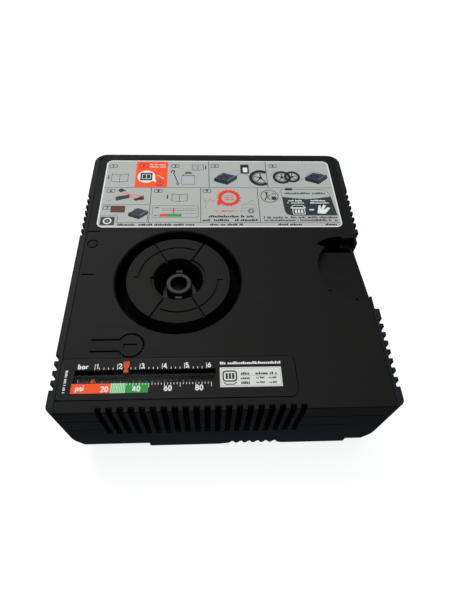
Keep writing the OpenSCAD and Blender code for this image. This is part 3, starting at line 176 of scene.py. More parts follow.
# %% Shader values that can be calculated with
class Field:
    """A number, colour or direction that changes over a surface."""

    def __init__(self, finish, socket):
        self.finish, self.socket = finish, socket

    def maths(self, operation, first, second):
        """The result of one Math node."""
        return self.finish.node("ShaderNodeMath", {"operation": operation}, {0: first, 1: second})

    def __add__(self, other): return self.maths("ADD", self, other)
    def __radd__(self, other): return self.maths("ADD", other, self)
    def __sub__(self, other): return self.maths("SUBTRACT", self, other)
    def __rsub__(self, other): return self.maths("SUBTRACT", other, self)
    def __mul__(self, other): return self.maths("MULTIPLY", self, other)
    def __rmul__(self, other): return self.maths("MULTIPLY", other, self)


class Finish:
    """One material: a Principled shader, with fixed values and the nodes that feed the rest."""

    def __init__(self, name, fixed):
        self.material = bpy.data.materials.new(name)
        self.material.use_nodes = True
        self.tree = self.material.node_tree
        self.shader = self.tree.nodes["Principled BSDF"]
        for socket, value in fixed.items():
            self.shader.inputs[socket].default_value = value
        self.place = self.node("ShaderNodeTexCoord", {}, {}, "Object")

    def node(self, kind, settings, inputs, output=0):
        """Adds a node, sets it up, feeds its inputs with numbers or Fields, gives one output."""
        made = self.tree.nodes.new(kind)
        for name, value in settings.items():
            setattr(made, name, value)
        for name, value in inputs.items():
            if isinstance(value, Field):
                self.tree.links.new(value.socket, made.inputs[name])
            else:
                made.inputs[name].default_value = value
        return Field(self, made.outputs[output])

    def noise(self, per_metre, detail=2.0, rough=0.5, stretch=(1, 1, 1)):
        """Soft random lumps, from 0 to 1, that many to the metre, longer along a small stretch."""
        spot = self.node("ShaderNodeMapping", {}, {"Vector": self.place, "Scale": stretch})
        return self.node("ShaderNodeTexNoise", {}, {
            "Vector": spot, "Scale": per_metre, "Detail": detail, "Roughness": rough})

    def cells(self, per_metre):
        """Distance to the nearest of many scattered points."""
        return self.node("ShaderNodeTexVoronoi", {}, {"Vector": self.place, "Scale": per_metre})

    def between(self, share, low, high):
        """A share of 0 to 1 remapped to low..high, held inside them."""
        return self.node("ShaderNodeMapRange", {"clamp": True}, {
            "Value": share, "From Min": 0.0, "From Max": 1.0, "To Min": low, "To Max": high})

    def ease(self, value, start, stop):
        """0 below start, 1 above stop, smooth between."""
        return self.node("ShaderNodeMapRange", {"interpolation_type": "SMOOTHSTEP"}, {
            "Value": value, "From Min": start, "From Max": stop, "To Min": 0.0, "To Max": 1.0})

    def tint(self, share, first, second):
        """The colour between two colours at that share."""
        return self.node("ShaderNodeMix", {"data_type": "RGBA"}, {0: share, 6: first, 7: second}, 2)

    def feed(self, **sockets):
        """Links Fields to the shader: base, rough, metal, coat, alpha, glow. Gives the material."""
        names = {"base": "Base Color", "rough": "Roughness", "metal": "Metallic",
                 "coat": "Coat Weight", "alpha": "Alpha", "glow": "Emission Color"}
        for short, field in sockets.items():
            self.tree.links.new(field.socket, self.shader.inputs[names[short]])
        return self.material

    def relief(self, height, depth, edge=0.0):
        """Bumps that many millimetres high, over edges softened by a radius in millimetres."""
        inputs = {"Height": height, "Distance": depth * MM, "Strength": 1.0}
        if edge:
            inputs["Normal"] = self.node("ShaderNodeBevel", {"samples": 6}, {"Radius": edge * MM})
        bump = self.node("ShaderNodeBump", {}, inputs)
        self.tree.links.new(bump.socket, self.shader.inputs["Normal"])


def paint(red, green, blue):
    """A screen colour of 0 to 255 as the linear colour that shaders use."""
    screen = np.array([red, green, blue]) / 255
    linear = np.where(screen <= 0.04045, screen / 12.92, ((screen + 0.055) / 1.055) ** 2.4)
    return (*[float(x) for x in linear], 1.0)


FINISHES = {}  # every material of the object, by name


def make_all(maker, rows):
    """Calls a maker for each named row: two screen colours, then the maker's own numbers."""
    for name, (first, second, *rest) in rows.items():
        FINISHES[name] = maker(name, paint(*first), paint(*second), *rest)


table_finish = Finish("table_paper", {"Roughness": 0.9, "Specular IOR Level": 0.0,
                                      "Emission Color": (1, 1, 1, 1), "Emission Strength": 0.84})
paper = table_finish.tint(table_finish.noise(3, 3), paint(153, 153, 153), paint(158, 158, 158))
table_top.data.materials.append(table_finish.feed(base=paper))
print("finishes can be calculated; the table is", table_finish.material.name)

# %% [markdown]
# ## Backdrop
# From low down, the camera sees past the table's edge. A real studio hangs pale paper there. A
# half sphere does it from every side, and only the camera sees it, so it adds no light.

# %% Backdrop
TURNS, RINGS = 48, 12  # points round the half sphere, and rows up it
turned, rise = np.meshgrid(np.arange(TURNS) * 2 * np.pi / TURNS,
                           np.radians(np.linspace(-1, 88, RINGS)), indexing="ij")
ball = np.stack([np.cos(turned) * np.cos(rise), np.sin(turned) * np.cos(rise), np.sin(rise)], -1)
number = np.arange(TURNS * RINGS).reshape(TURNS, RINGS)
sides = [face[::-1] for face in grid_faces(number.T, True)]
backdrop = new_object("backdrop", new_mesh("backdrop", BACKDROP_RADIUS * ball,
                                           sides + [number[::-1, -1]]))
for ray in ("diffuse", "glossy", "transmission", "volume_scatter", "shadow"):
    setattr(backdrop, "visible_" + ray, False)
drop_finish = Finish("backdrop_paper", {"Base Color": (0, 0, 0, 1), "Specular IOR Level": 0.0,
                                        "Emission Strength": 1.0})
paper = drop_finish.tint(drop_finish.noise(0.6, 2), paint(238, 239, 241), paint(244, 245, 246))
backdrop.data.materials.append(drop_finish.feed(glow=paper))
print("backdrop has", len(backdrop.data.polygons), "faces")

# %% [markdown]
# ## Finishes for the mouldings
# The case is ABS from a spark-eroded mould: a fine pebbled grain that breaks the reflections
# into a soft sheen. Three layers make it: the grain as relief, slow clouds in the gloss from
# handling, and scattered dust and short scuffs a little lighter than the plastic. Moulded edges
# are never sharp. A Bevel modifier would change the CAD's shape, so a Bevel node in the shader
# turns the normals near an edge instead, which is all that the eye sees of so small a radius.

# %% Moulded plastic
def moulded_plastic(name, dark, light, gloss=0.5, grain=0.02, dust=0.35, edge=0.3, shine=0.16):
    """Pebbled mould texture, clouded gloss, dust specks and short pale scuffs. Grain and edge
    are in millimetres, and dust is how much paler a speck is."""
    finish = Finish(name, {"Specular IOR Level": shine, "IOR": 1.5})
    cloud = finish.noise(22, 4, 0.6)
    pebbles = finish.noise(1900, 3, 0.55)
    speck = finish.cells(420)
    specks = (1 - finish.ease(speck, 0.035, 0.075)) * finish.ease(finish.noise(60, 2), 0.52, 0.66)
    scuff = finish.ease(finish.noise(90, 2, 0.5, (0.25, 3.4, 1)), 0.66, 0.74)
    plain = finish.tint(finish.ease(cloud, 0.35, 0.75), dark, light)
    pale = tuple(min(1, 3.2 * part + 0.012) for part in light[:3]) + (1,)
    marks = specks * dust + scuff * 0.07
    finish.relief(pebbles + speck * 0.2, grain, edge)
    return finish.feed(base=finish.tint(marks, plain, pale),
                       rough=finish.between(cloud, gloss - 0.06, gloss + 0.12) + pebbles * 0.06)


make_all(moulded_plastic, {  # dark, light, gloss, grain, dust, edge, shine
    "case_black": ((16, 16, 13), (20, 20, 17), 0.5, 0.02, 0.35, 0.3, 0.1),
    "disc_black": ((18, 18, 15), (22, 22, 18), 0.5, 0.02, 0.35, 0.3, 0.09),
    "housing_black": ((14, 18, 21), (20, 24, 27), 0.55, 0.02),
    "panel_black": ((13, 13, 11), (17, 17, 14), 0.42, 0.008, 0.35, 0.3, 0.1),
    # the dock's trough and the hose bay: black plastic, painted near-black as the shade in their
    # deep recesses
    "well_black": ((3, 3, 4), (5, 5, 6), 0.7, 0.03, 0.3, 0.4, 0.03),
    "switch_black": ((16, 17, 19), (22, 23, 25), 0.3, 0.006),
    "spigot_grey": ((29, 29, 28), (39, 39, 38), 0.3, 0.01, 0.2, 0.6, 0.14),
    "fan_black": ((20, 21, 23), (28, 29, 31), 0.42, 0.01),
})

# %% [markdown]
# Most of what is inside is hidden, but still gets the finish of the real one. Nylon is waxy and
# slightly see-through, with a soft gloss and faint flow lines; rubber is dull with talc in its
# pores.

# %% Nylon, rubber and clear plastic
def nylon(name, colour, shade, depth=0.08, shine=0.5, glow=0.0):
    """Waxy plastic with faint flow lines from the mould's gate; depth is how far light enters,
    and glow is painted light: an emission that makes the part shine from within."""
    finish = Finish(name, {"Subsurface Weight": depth, "IOR": 1.53, "Specular IOR Level": shine,
                           "Emission Color": colour, "Emission Strength": glow})
    flow = finish.noise(160, 3, 0.6, (1, 0.2, 1))
    cloud = finish.noise(45, 2)
    finish.relief(flow, 0.01)
    return finish.feed(base=finish.tint(flow * 0.6 + cloud * 0.3, colour, shade),
                       rough=finish.between(flow, 0.32, 0.5))


def rubber(name, colour, talc):
    """Dull rubber with fine pores and a little talc."""
    finish = Finish(name, {"Specular IOR Level": 0.25})
    pores = finish.noise(2600, 2)
    powder = finish.ease(finish.noise(130, 4, 0.65), 0.5, 0.8)
    finish.relief(pores, 0.02)
    return finish.feed(base=finish.tint(powder * 0.45, colour, talc),
                       rough=finish.between(pores, 0.62, 0.86))


def clear_plastic(name, colour, haze, cover, gloss):
    """Clear plastic that hides only a small share, cover, of what is behind, with hairlines."""
    finish = Finish(name, {"IOR": 1.49, "Specular IOR Level": 0.16})
    hair = finish.ease(finish.noise(240, 2, 0.5, (0.06, 2.5, 1)), 0.64, 0.7)
    film = finish.noise(40, 3)
    finish.relief(hair, 0.004)
    return finish.feed(base=finish.tint(film * 0.15 + hair * 0.3, colour, haze),
                       rough=finish.between(film, gloss, gloss + 0.14) + hair * 0.2,
                       alpha=finish.between(film, cover, cover + 0.05) + hair * 0.05)


make_all(nylon, {  # colour, shade, depth, shine, glow
    "natural_nylon": ((226, 222, 208), (203, 197, 178)),
    "white_nylon": ((232, 232, 228), (210, 210, 206)),
    # the red ring's glow is painted light, which keeps it bright inside the shaded gauge window
    "red_ring": ((255, 104, 52), (240, 84, 36), 0.02, 0.2, 0.3),
    "red_slider": ((214, 92, 44), (180, 66, 26), 0.0, 0.06),
    "smoked_nylon": ((52, 38, 34), (38, 28, 25), 0.0, 0.2),
})
make_all(rubber, {"hose_rubber": ((26, 26, 27), (52, 52, 52)),
                  "seal_rubber": ((20, 20, 21), (60, 60, 60))})
make_all(clear_plastic, {"window_clear": ((8, 8, 8), (150, 150, 146), 0.05, 0.06),
                         "tube_clear": ((44, 43, 41), (150, 150, 146), 0.06, 0.08)})

# %% [markdown]
# ## Finishes for the metals
# Metals differ in the direction of their marks. Turned and drawn parts have fine lines round or
# along them, stamped plate has almost none, and die castings are grainy. One function takes the
# direction as a stretch, so each metal only states its colours, its lines and its gloss.

# %% Metals
def metal(name, colour, tarnish, low, high, stretch=(1, 1, 1), per_metre=900, depth=0.006):
    """Metal with directional tool lines and clouded tarnish; roughness from low to high."""
    finish = Finish(name, {"Metallic": 1.0})
    lines = finish.noise(per_metre, 3, 0.6, stretch)
    cloud = finish.ease(finish.noise(70, 4, 0.62), 0.4, 0.75)
    spots = finish.ease(finish.noise(600, 2), 0.66, 0.8)
    finish.relief(lines, depth)
    return finish.feed(base=finish.tint(cloud * 0.7 + spots * 0.3, colour, tarnish),
                       rough=finish.between(lines * 0.6 + cloud * 0.4, low, high))


ALONG_X, ALONG_Z, EVEN = (0.05, 1, 1), (1, 1, 0.05), (1, 1, 1)
make_all(metal, {  # colour, tarnish, roughness, stretch, lines, depth
    "zinc_steel": ((190, 194, 198), (150, 152, 150), 0.22, 0.42),
    "turned_steel": ((198, 200, 203), (160, 160, 160), 0.14, 0.3, ALONG_X, 1400),
    "spring_steel": ((176, 178, 182), (126, 122, 118), 0.2, 0.36),
    "can_steel": ((182, 185, 188), (150, 150, 147), 0.25, 0.45, ALONG_X),
    "cast_alloy": ((168, 170, 173), (132, 133, 134), 0.45, 0.7, EVEN, 700, 0.03),
    "machined_alloy": ((196, 198, 201), (164, 165, 166), 0.22, 0.4, (1, 0.06, 1), 1200),
    "turned_brass": ((214, 178, 98), (168, 130, 66), 0.2, 0.38, ALONG_Z, 1300),
    "sintered_bronze": ((176, 136, 84), (120, 88, 52), 0.5, 0.72, EVEN, 1800, 0.02),
})

# %% [markdown]
# Three pieces of the motor are none of these: a sintered magnet crumbles at a fine scale, the
# rotor is a pile of iron sheets with copper wound over it, and a wire has a skin of its own.

# %% Magnet, rotor and wire
def ferrite(name, dark, light):
    """Dull sintered magnet: dark grey, crumbly at a fine scale."""
    finish = Finish(name, {"Specular IOR Level": 0.35})
    crumbs = finish.cells(1500)
    cloud = finish.noise(80, 4)
    finish.relief(crumbs, 0.03)
    return finish.feed(base=finish.tint(cloud, dark, light),
                       rough=finish.between(crumbs, 0.55, 0.8))


def rotor_stack(name, iron, copper):
    """Varnished iron sheets with enamelled copper: fine layers along X under an amber varnish."""
    finish = Finish(name, {"Coat Roughness": 0.15})
    layers = finish.node("ShaderNodeTexWave", {"bands_direction": "X"}, {
        "Vector": finish.place, "Scale": 620.0, "Distortion": 0.3})
    varnish = finish.ease(finish.noise(120, 3), 0.35, 0.7)
    sheets = finish.tint(layers, iron, copper)
    finish.relief(layers, 0.04)
    return finish.feed(base=finish.tint(varnish * 0.5, sheets, paint(120, 64, 26)),
                       metal=finish.between(varnish, 0.9, 0.5),
                       rough=finish.between(layers, 0.3, 0.5),
                       coat=finish.between(varnish, 0.1, 0.8))


def insulation(name, colour, shade):
    """Flexible wire insulation: satin, with slight drawing marks and grime."""
    finish = Finish(name, {"Specular IOR Level": 0.4})
    grime = finish.ease(finish.noise(150, 3), 0.5, 0.8)
    finish.relief(finish.noise(1800, 2), 0.008)
    return finish.feed(base=finish.tint(grime * 0.6, colour, shade),
                       rough=finish.between(grime, 0.34, 0.6))


make_all(ferrite, {"magnet_grey": ((52, 52, 55), (78, 76, 76))})
make_all(rotor_stack, {"iron_and_copper": ((92, 72, 56), (140, 104, 74))})
make_all(insulation, {"red_wire": ((176, 34, 26), (110, 26, 22))})

# %% [markdown]
# ## Paper and ink
# The instruction label is laminated paper: an off-white sheet under a thin clear film, so it is
# matt inside and glossy on top, which the shader's coat gives. Ink is the same film over a
# colour that is never quite even, so each ink gets a faint mottle.

# %% Paper and ink
FILM = 0.05  # how much of the glossy film shows


def laminated(name, colour, shade, mottle=0.25):
    """A printed colour with a slight mottle under a thin glossy film."""
    finish = Finish(name, {"Coat Roughness": 0.3, "Specular IOR Level": 0.12})
    cloud = finish.noise(35, 4, 0.6)
    fibre = finish.noise(1500, 2)
    finish.relief(fibre, 0.004)
    return finish.feed(base=finish.tint(cloud * mottle + fibre * mottle * 0.5, colour, shade),
                       rough=finish.between(fibre, 0.5, 0.7),
                       coat=finish.between(cloud, FILM, FILM + 0.06))


make_all(laminated, {  # colour, shade, mottle
    "ink_white": ((226, 228, 225), (208, 210, 207)),
    "ink_black": ((26, 27, 30), (44, 45, 48)),
    "ink_grey": ((104, 107, 110), (126, 128, 130)),
    "ink_pale": ((170, 173, 176), (182, 184, 186)),
    "ink_slate": ((42, 50, 52), (58, 66, 68)),
    "ink_navy": ((48, 56, 76), (64, 72, 92)),
    "ink_orange": ((246, 76, 22), (236, 92, 42)),
    "ink_red": ((226, 52, 34), (212, 72, 54)),
    "ink_green": ((34, 142, 54), (52, 152, 68)),
    "ink_mint": ((172, 224, 176), (184, 230, 186)),
    "ink_brown": ((92, 48, 36), (112, 64, 50)),
    "label_paper": ((176, 177, 172), (158, 160, 155), 0.35),
    "plate_paper": ((218, 218, 210), (202, 203, 196), 0.3),
})
print(len(FINISHES), "finishes are made")

# %% [markdown]
# ## Giving each CAD piece its finish
# The CAD nodes keep their shape and only swap their material. A list by finish is easier to
# check than one by node, and the script stops if a node has been forgotten.

# %% Finish of every CAD node
NODES_OF = {
    "case_black": "top_cover release_button",
    "disc_black": "dock_disc",
    "housing_black": "lower_housing",
    "panel_black": "gauge_panel",
    # the trough and the hose bay get the near-black finish that paints shade into their recesses
    "well_black": "dock_trough hose_bay",
    "switch_black": "switch_body switch_rocker marker_clip",
    "spigot_grey": "bottle_spigot",
    "fan_black": "cooling_fan motor_end_cap",
    "window_clear": "gauge_window",
    "tube_clear": "gauge_tube",
    "label_paper": "label_sheet",
    "plate_paper": "info_plate",
    "red_slider": "target_marker",
    "red_ring": "gauge_piston_ring",
    "smoked_nylon": "gauge_piston",
    "white_nylon": "gauge_inlet_plug gauge_spring_seat valve_plunger",
    "natural_nylon": "crank_gear piston_rod piston_cup",
    "hose_rubber": "air_hoses supply_wires",
    "seal_rubber": "spigot_gasket valve_plunger_seal cable_gland pump_grommets head_gasket",
    "red_wire": "motor_wire",
    "zinc_steel": "case_screws dock_screws valve_block_screws pump_screws head_screws",
    "turned_steel": "motor_shaft crank_axle crank_pin hose_outlet",
    "spring_steel": "gauge_spring valve_spring reed_valve",
    "can_steel": "motor_can valve_plate",
    "cast_alloy": "pump_frame cylinder_head valve_block",
    "machined_alloy": "cylinder",
    "turned_brass": "spigot_nut outlet_nut switch_terminals motor_terminals motor_pinion",
    "sintered_bronze": "motor_bushes",
    "magnet_grey": "motor_magnets",
    "iron_and_copper": "motor_rotor",
}
finished = set()
for finish, nodes in NODES_OF.items():
    for node in nodes.split():
        slots = frame["nodes"][node].data.materials
        slots.clear()
        slots.append(FINISHES[finish])
        finished.add(node)
assert finished == set(frame["nodes"]), set(frame["nodes"]) ^ finished
print(len(finished), "CAD nodes have", len(NODES_OF), "finishes")

# %% [markdown]
# ## Flat printed shapes
# Printing could be a picture stretched over the surface. Here it is geometry instead: thin
# shapes a fiftieth of a millimetre thick, which stay sharp at any distance. The scale's figures
# come first. A font could be thickened, but its narrow openings then close up, so each sign is
# a few strokes one unit tall, which become ribbons.

# %% Figures as strokes
def curl(x, y, wide, high, start=0.0, stop=360.0, parts=16):
    """Points on part of an oval: its centre plus half its width and height at even angles."""
    angle = np.radians(np.linspace(start, stop, parts))
    return [(x + wide * math.cos(a), y + high * math.sin(a)) for a in angle]


FIGURES = {  # strokes one unit tall, and the step to the next sign
    "0": ([curl(.32, .5, .23, .42)], .70),
    "1": ([[(.08, .74), (.3, .92), (.3, .08)]], .50),
    "2": ([curl(.3, .68, .22, .24, 170, -35, 10) + [(.08, .08), (.56, .08)]], .66),
    "3": ([curl(.28, .7, .2, .22, 150, -90, 10), curl(.28, .3, .24, .22, 90, -150, 10)], .66),
    "4": ([[(.6, .3), (.08, .3), (.44, .92)], [(.44, .92), (.44, .08)]], .70),
    "5": ([[(.5, .92), (.14, .92), (.12, .54)] + curl(.28, .34, .24, .26, 100, -150, 10)], .66),
    "6": ([curl(.32, .32, .23, .24), [(.46, .92), (.2, .6), (.1, .38)]], .70),
    "7": ([[(.06, .92), (.54, .92), (.24, .08)]], .64),
    "8": ([curl(.32, .3, .24, .22), curl(.32, .72, .19, .2)], .70),
    "9": ([curl(.32, .68, .23, .24), [(.18, .08), (.44, .4), (.54, .62)]], .70),
    "a": ([curl(.3, .33, .2, .24), [(.5, .6), (.5, .08)]], .68),
    "b": ([curl(.32, .33, .2, .24), [(.12, .96), (.12, .08)]], .66),
    "i": ([[(.1, .6), (.1, .08)], [(.1, .8), (.1, .96)]], .28),
    "p": ([curl(.32, .33, .2, .24), [(.12, .6), (.12, -.2)]], .66),
    "r": ([[(.12, .6), (.12, .08)], curl(.32, .38, .2, .18, 170, 60, 6)], .48),
    "s": ([curl(.26, .45, .16, .12, 40, 270, 8), curl(.26, .21, .16, .12, 90, -140, 8)], .52),
}
print("figures drawn:", "".join(FIGURES))

# %% [markdown]
# ## A sheet that takes the ink
# Everything printed in one ink goes on one sheet, which becomes one mesh and one piece. Hundreds
# of little objects would look the same, but would be slow and hard to check.

# %% A sheet of printed shapes
SHARPEST = 1.4  # a ribbon's corners sharper than this are blunted
HAIR, HAIRS = 0.0009, 6  # the hair in millimetres, and how many before the heights start again
INK_THICK = 0.02  # millimetres
LETTER_PITCH, LETTER_HEIGHTS = 0.66, [0.66, 0.72, 1.0]  # small print, as shares of its height
SPACES = 0.12  # the share of small print that is left out


class Sheet:
    """Flat shapes of one ink, in millimetres, that become one thin mesh."""

    def __init__(self):
        self.points, self.faces, self.count = [], [], 0

    def add(self, points, faces):
        """Keeps points (n by 2) and the faces between them. Overlapping shapes on one plane would
        shade each other black, so each lies a hair above the one before."""
        points = np.asarray(points, float).reshape(-1, 2)
        lift = HAIR * (len(self.points) % HAIRS)
        self.points.append(np.column_stack([points, np.full(len(points), lift)]))
        self.faces += [[int(corner) + self.count for corner in face] for face in faces]
        self.count += len(points)

    def bars(self, boxes):
        """Upright rectangles, each given as left, low, right, high."""
        boxes = np.atleast_2d(np.array(boxes, float))
        corners = boxes[:, [[0, 1], [2, 1], [2, 3], [0, 3]]]
        self.add(corners, np.arange(4 * len(boxes)).reshape(-1, 4))

    def outline(self, points):
        """One filled shape with the given corners, in order."""
        self.add(points, [range(len(points))])

    def band(self, inner, outer, closed):
        """Fills the strip between two rows of points of equal length."""
        rows = np.arange(2 * len(inner)).reshape(2, -1)
        self.add(np.concatenate([inner, outer]), grid_faces(rows, closed))

    def ring(self, centre, inner, outer, start=0.0, stop=360.0, parts=40):
        """Part of a ring: points at two radii at even angles; inner 0 makes a disc."""
        centre, closed = np.array(centre), abs(stop - start) >= 360
        angle = np.radians(np.linspace(start, stop, parts, endpoint=not closed))
        spoke = np.stack([np.cos(angle), np.sin(angle)], 1)
        if inner == 0 and closed:
            self.outline(centre + outer * spoke)
        else:
            self.band(centre + inner * spoke, centre + outer * spoke, closed)

    def line(self, points, width, closed=False):
        """A ribbon along points: each is moved both ways along the mean of its two normals."""
        points = np.array(points, float)
        ahead, behind = np.roll(points, -1, 0) - points, points - np.roll(points, 1, 0)
        if not closed:
            ahead[-1], behind[0] = behind[-1], ahead[0]
        normals = [np.stack([-part[:, 1], part[:, 0]], 1) for part in (ahead, behind)]
        normals = [part / np.linalg.norm(part, axis=1, keepdims=True) for part in normals]
        mean = normals[0] + normals[1]
        mean = mean / np.maximum(np.sum(mean * mean, 1, keepdims=True), SHARPEST)
        self.band(points - mean * width, points + mean * width, closed)

    def frame(self, box, width, corner):
        """The outline of a box with round corners, as a ribbon."""
        self.line(round_box(box, corner), width, True)

    def text(self, words, place, height, weight=0.21):
        """Figures from their lower left corner; weight is a ribbon's share of the height."""
        left = place[0]
        for sign in words:
            strokes, step = FIGURES[sign]
            for stroke in strokes:
                closed = bool(np.allclose(stroke[0], stroke[-1]))
                spots = np.array(stroke[:-1] if closed else stroke) * height + (left, place[1])
                self.line(spots, weight * height, closed)
            left += step * height

    def greeked(self, box, seed, height, lines=1):
        """Lines of small print: letter-sized blocks at an even pitch, some left out as spaces."""
        dice = np.random.default_rng(seed)
        line_pitch, pitch = (box[3] - box[1]) / lines, LETTER_PITCH * height
        for row in range(lines):
            left = np.arange(box[0], box[2] - pitch, pitch)
            left = left[dice.random(len(left)) > SPACES]
            under = box[3] - (row + 0.5) * line_pitch - height / 2 + 0 * left
            tall = height * dice.choice(LETTER_HEIGHTS, len(left))
            wide = 0.8 * pitch * dice.uniform(0.85, 1.1, len(left))
            self.bars(np.stack([left, under, left + wide, under + tall], 1))

    def tab(self, box, corner):
        """A filled box with round corners."""
        self.outline(round_box(box, corner))


def round_box(box, radius):
    """Corners of a box, each a quarter circle of six points, from the upper right one on."""
    left, low, right, high = box[0] + radius, box[1] + radius, box[2] - radius, box[3] - radius
    middles = ((right, high, 0), (left, high, 90), (left, low, 180), (right, low, 270))
    return np.array([spot for x, y, turned in middles
                     for spot in curl(x, y, radius, radius, turned, turned + 90, 6)])


def print_sheet(name, sheet, ink, origin, height):
    """Makes a sheet's shapes a thin closed mesh on the housing, its upper face at that height."""
    points = np.concatenate(sheet.points) * MM + np.array((*origin, height))
    mesh = new_mesh(name, points, sheet.faces)
    mesh.materials.append(FINISHES["ink_" + ink])
    piece = new_object(name, mesh)
    solid = piece.modifiers.new("thickness", "SOLIDIFY")
    solid.thickness, solid.offset = INK_THICK * MM, -1
    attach(piece, "housing")


print("each ink is", INK_THICK, "mm thick")

# %% [markdown]
# ## The gauge's printing
# The scale runs along the straight window: whole bars with figures and fifths between them at
# the back, pounds per square inch at the front, and a coloured band behind the low figures.
# The spacing isn't free: one bar is what the red ring travels for it, and the second scale
# follows from the conversion. The red marker's head slides 0.05 mm above the panel, so every
# layer of ink stays lower than that.

# %% Gauge scale
BAR_PITCH, BAR_ZERO = 12.1, 6.4  # millimetres for one bar, and where zero lies
PSI_PITCH = BAR_PITCH * 0.0689476  # one pound per square inch in bar
SLOT_BACK, WINDOW_FRONT = 23.4, 16.0  # the edges of the window, from the front
TICK_GAP = 0.3  # between the ticks and the window
BAND_Z, HATCH_Z, FIGURE_Z = TOP + 0.012 * MM, TOP + 0.02 * MM, TOP + 0.032 * MM
gauge_origin = from_corner(0, 0)

scale = Sheet()
fifths = np.arange(5, 31)  # from one bar to six
ticks_x, ticks_y = BAR_ZERO + BAR_PITCH * fifths / 5, SLOT_BACK + TICK_GAP
tick_length = np.where(fifths % 5 == 0, 3.3, 1.2)
scale.bars(np.stack([ticks_x - 0.17, 0 * ticks_x + ticks_y,
                     ticks_x + 0.17, ticks_y + tick_length], 1))
for bar in range(1, 7):
    scale.text(str(bar), (BAR_ZERO + BAR_PITCH * bar + 0.5, SLOT_BACK + 0.7), 3.1)
scale.text("bar", (9.2, SLOT_BACK + 0.7), 3.2)

pairs = np.arange(28, 92, 2)  # every second pound, right of the coloured band
psi_x, psi_y = BAR_ZERO + PSI_PITCH * pairs, WINDOW_FRONT - TICK_GAP
psi_length = np.where(pairs % 10 == 0, 2.6, 1.1)
scale.bars(np.stack([psi_x - 0.15, psi_y - psi_length, psi_x + 0.15, 0 * psi_x + psi_y], 1))
for psi in range(20, 100, 20):
    scale.text(str(psi), (BAR_ZERO + PSI_PITCH * psi - 0.3, 10.95), 3.2)
scale.text("psi", (9.6, 11.7), 3.2)
scale.greeked((86.4, 25.3, 121, 27.7), 4, 1.6)
scale.bars([(3.1, 10.8 + 0.68 * k, 4.4 - 0.3 * (k % 3 == 1), 11.26 + 0.68 * k)
                  for k in range(19) if k not in (1, 5, 7, 12)])

for ink, start, stop in (("orange", 7.3, 28.1), ("mint", 28.1, 35.8), ("green", 35.8, 47.9)):
    band = Sheet()
    band.bars((start, 10.3, stop, WINDOW_FRONT - 0.25))
    print_sheet("gauge_band_" + ink, band, ink, gauge_origin, BAND_Z)
hatch = Sheet()
for x in np.arange(28.6, 35.6, 0.9):
    hatch.outline([(x, 10.4), (x + 0.28, 10.4), (x + 0.63, 15.6), (x + 0.35, 15.6)])
print_sheet("gauge_hatch", hatch, "green", gauge_origin, HATCH_Z)
print_sheet("gauge_figures", scale, "white", gauge_origin, FIGURE_Z)
panel_edge = Sheet()
panel_edge.frame((0.6, 6.9, 127.7, 29.9), 0.12, 3.2)
print_sheet("gauge_edge_line", panel_edge, "black", gauge_origin, BAND_Z)
print("one bar is", BAR_PITCH, "mm and ten psi are", round(10 * PSI_PITCH, 2), "mm")

# %% [markdown]
# The white plate beside the scale is where an owner notes the pressure for front and rear
# tyres. It holds a small tread pictogram and an empty table: the two units on two rows, a
# ruled line, and blocks where words would be.

# %% Tyre data plate
plate_low, plate_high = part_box("info_plate")
plate = Sheet()  # in millimetres from the plate's lower left corner
plate.frame((0.7, 0.7, 33.1, 10.8), 0.1, 0.6)
plate.frame((1.8, 3.4, 9.0, 9.2), 0.75, 1.4)
plate.bars([(3.1 + 1.75 * k, 4.6, 4.3 + 1.75 * k, 8.0) for k in range(3)])
plate.line([(1.9, 2.7), (3.2, 1.6), (7.6, 1.6), (8.9, 2.7)], 0.5)
for row, y in enumerate((7.6, 4.9, 2.2)):
    plate.greeked((11.4, y - 0.7, 17.2, y + 0.9), 7 + row, 1.5)
plate.greeked((19.4, 6.9, 31.9, 8.5), 12, 1.5)
plate.line([(11.2, 6.5), (32.0, 6.5)], 0.1)
for y in (4.6, 1.9):
    plate.bars([(19.6, y, 20.2, y + 0.7), (20.5, y, 21.1, y + 0.7),
                (26.6, y, 27.2, y + 0.7), (27.5, y, 28.1, y + 0.7)])
    plate.text("bar", (21.7, y), 1.5, 0.24)
    plate.text("psi", (28.6, y), 1.5, 0.24)
print_sheet("plate_table", plate, "black", plate_low[:2], plate_high.z + 0.03 * MM)

# %% [markdown]
# ## The instruction label
# The label tells the story of a repair in ruled cells with step numbers. Its pictures are drawn
# by functions, each from a place and a size in millimetres from the label's lower left corner,
# because most of them come back several times. Sentences are only blocks.

# %% Pictures for the label
label_low, label_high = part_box("label_sheet")
LAYERS = "orange white navy slate brown grey pale red green black icons".split()
art = [Sheet() for layer in LAYERS]
orange, white, navy, slate, brown, grey, pale, red, green, black, icons = art


def booklet(x, y, wide, high):
    """An open booklet: two pages with a fold, a few lines on each."""
    middle = x + wide / 2
    slate.line([(middle, y), (x, y + 0.12 * high), (x, y + high), (middle, y + 0.88 * high),
                (x + wide, y + high), (x + wide, y + 0.12 * high)], 0.35, True)
    slate.bars((middle - 0.18, y, middle + 0.18, y + 0.88 * high))
    for row in range(3):
        level = y + high * (0.34 + 0.17 * row)
        pale.bars([(x + 0.12 * wide, level, x + 0.42 * wide, level + 0.3),
                   (x + 0.58 * wide, level, x + 0.88 * wide, level + 0.3)])


def read_mark(x, y):
    """The small upright mark beside a booklet."""
    black.ring((x, y + 3.4), 0, 0.55, parts=14)
    black.bars((x - 0.45, y, x + 0.45, y + 2.5))


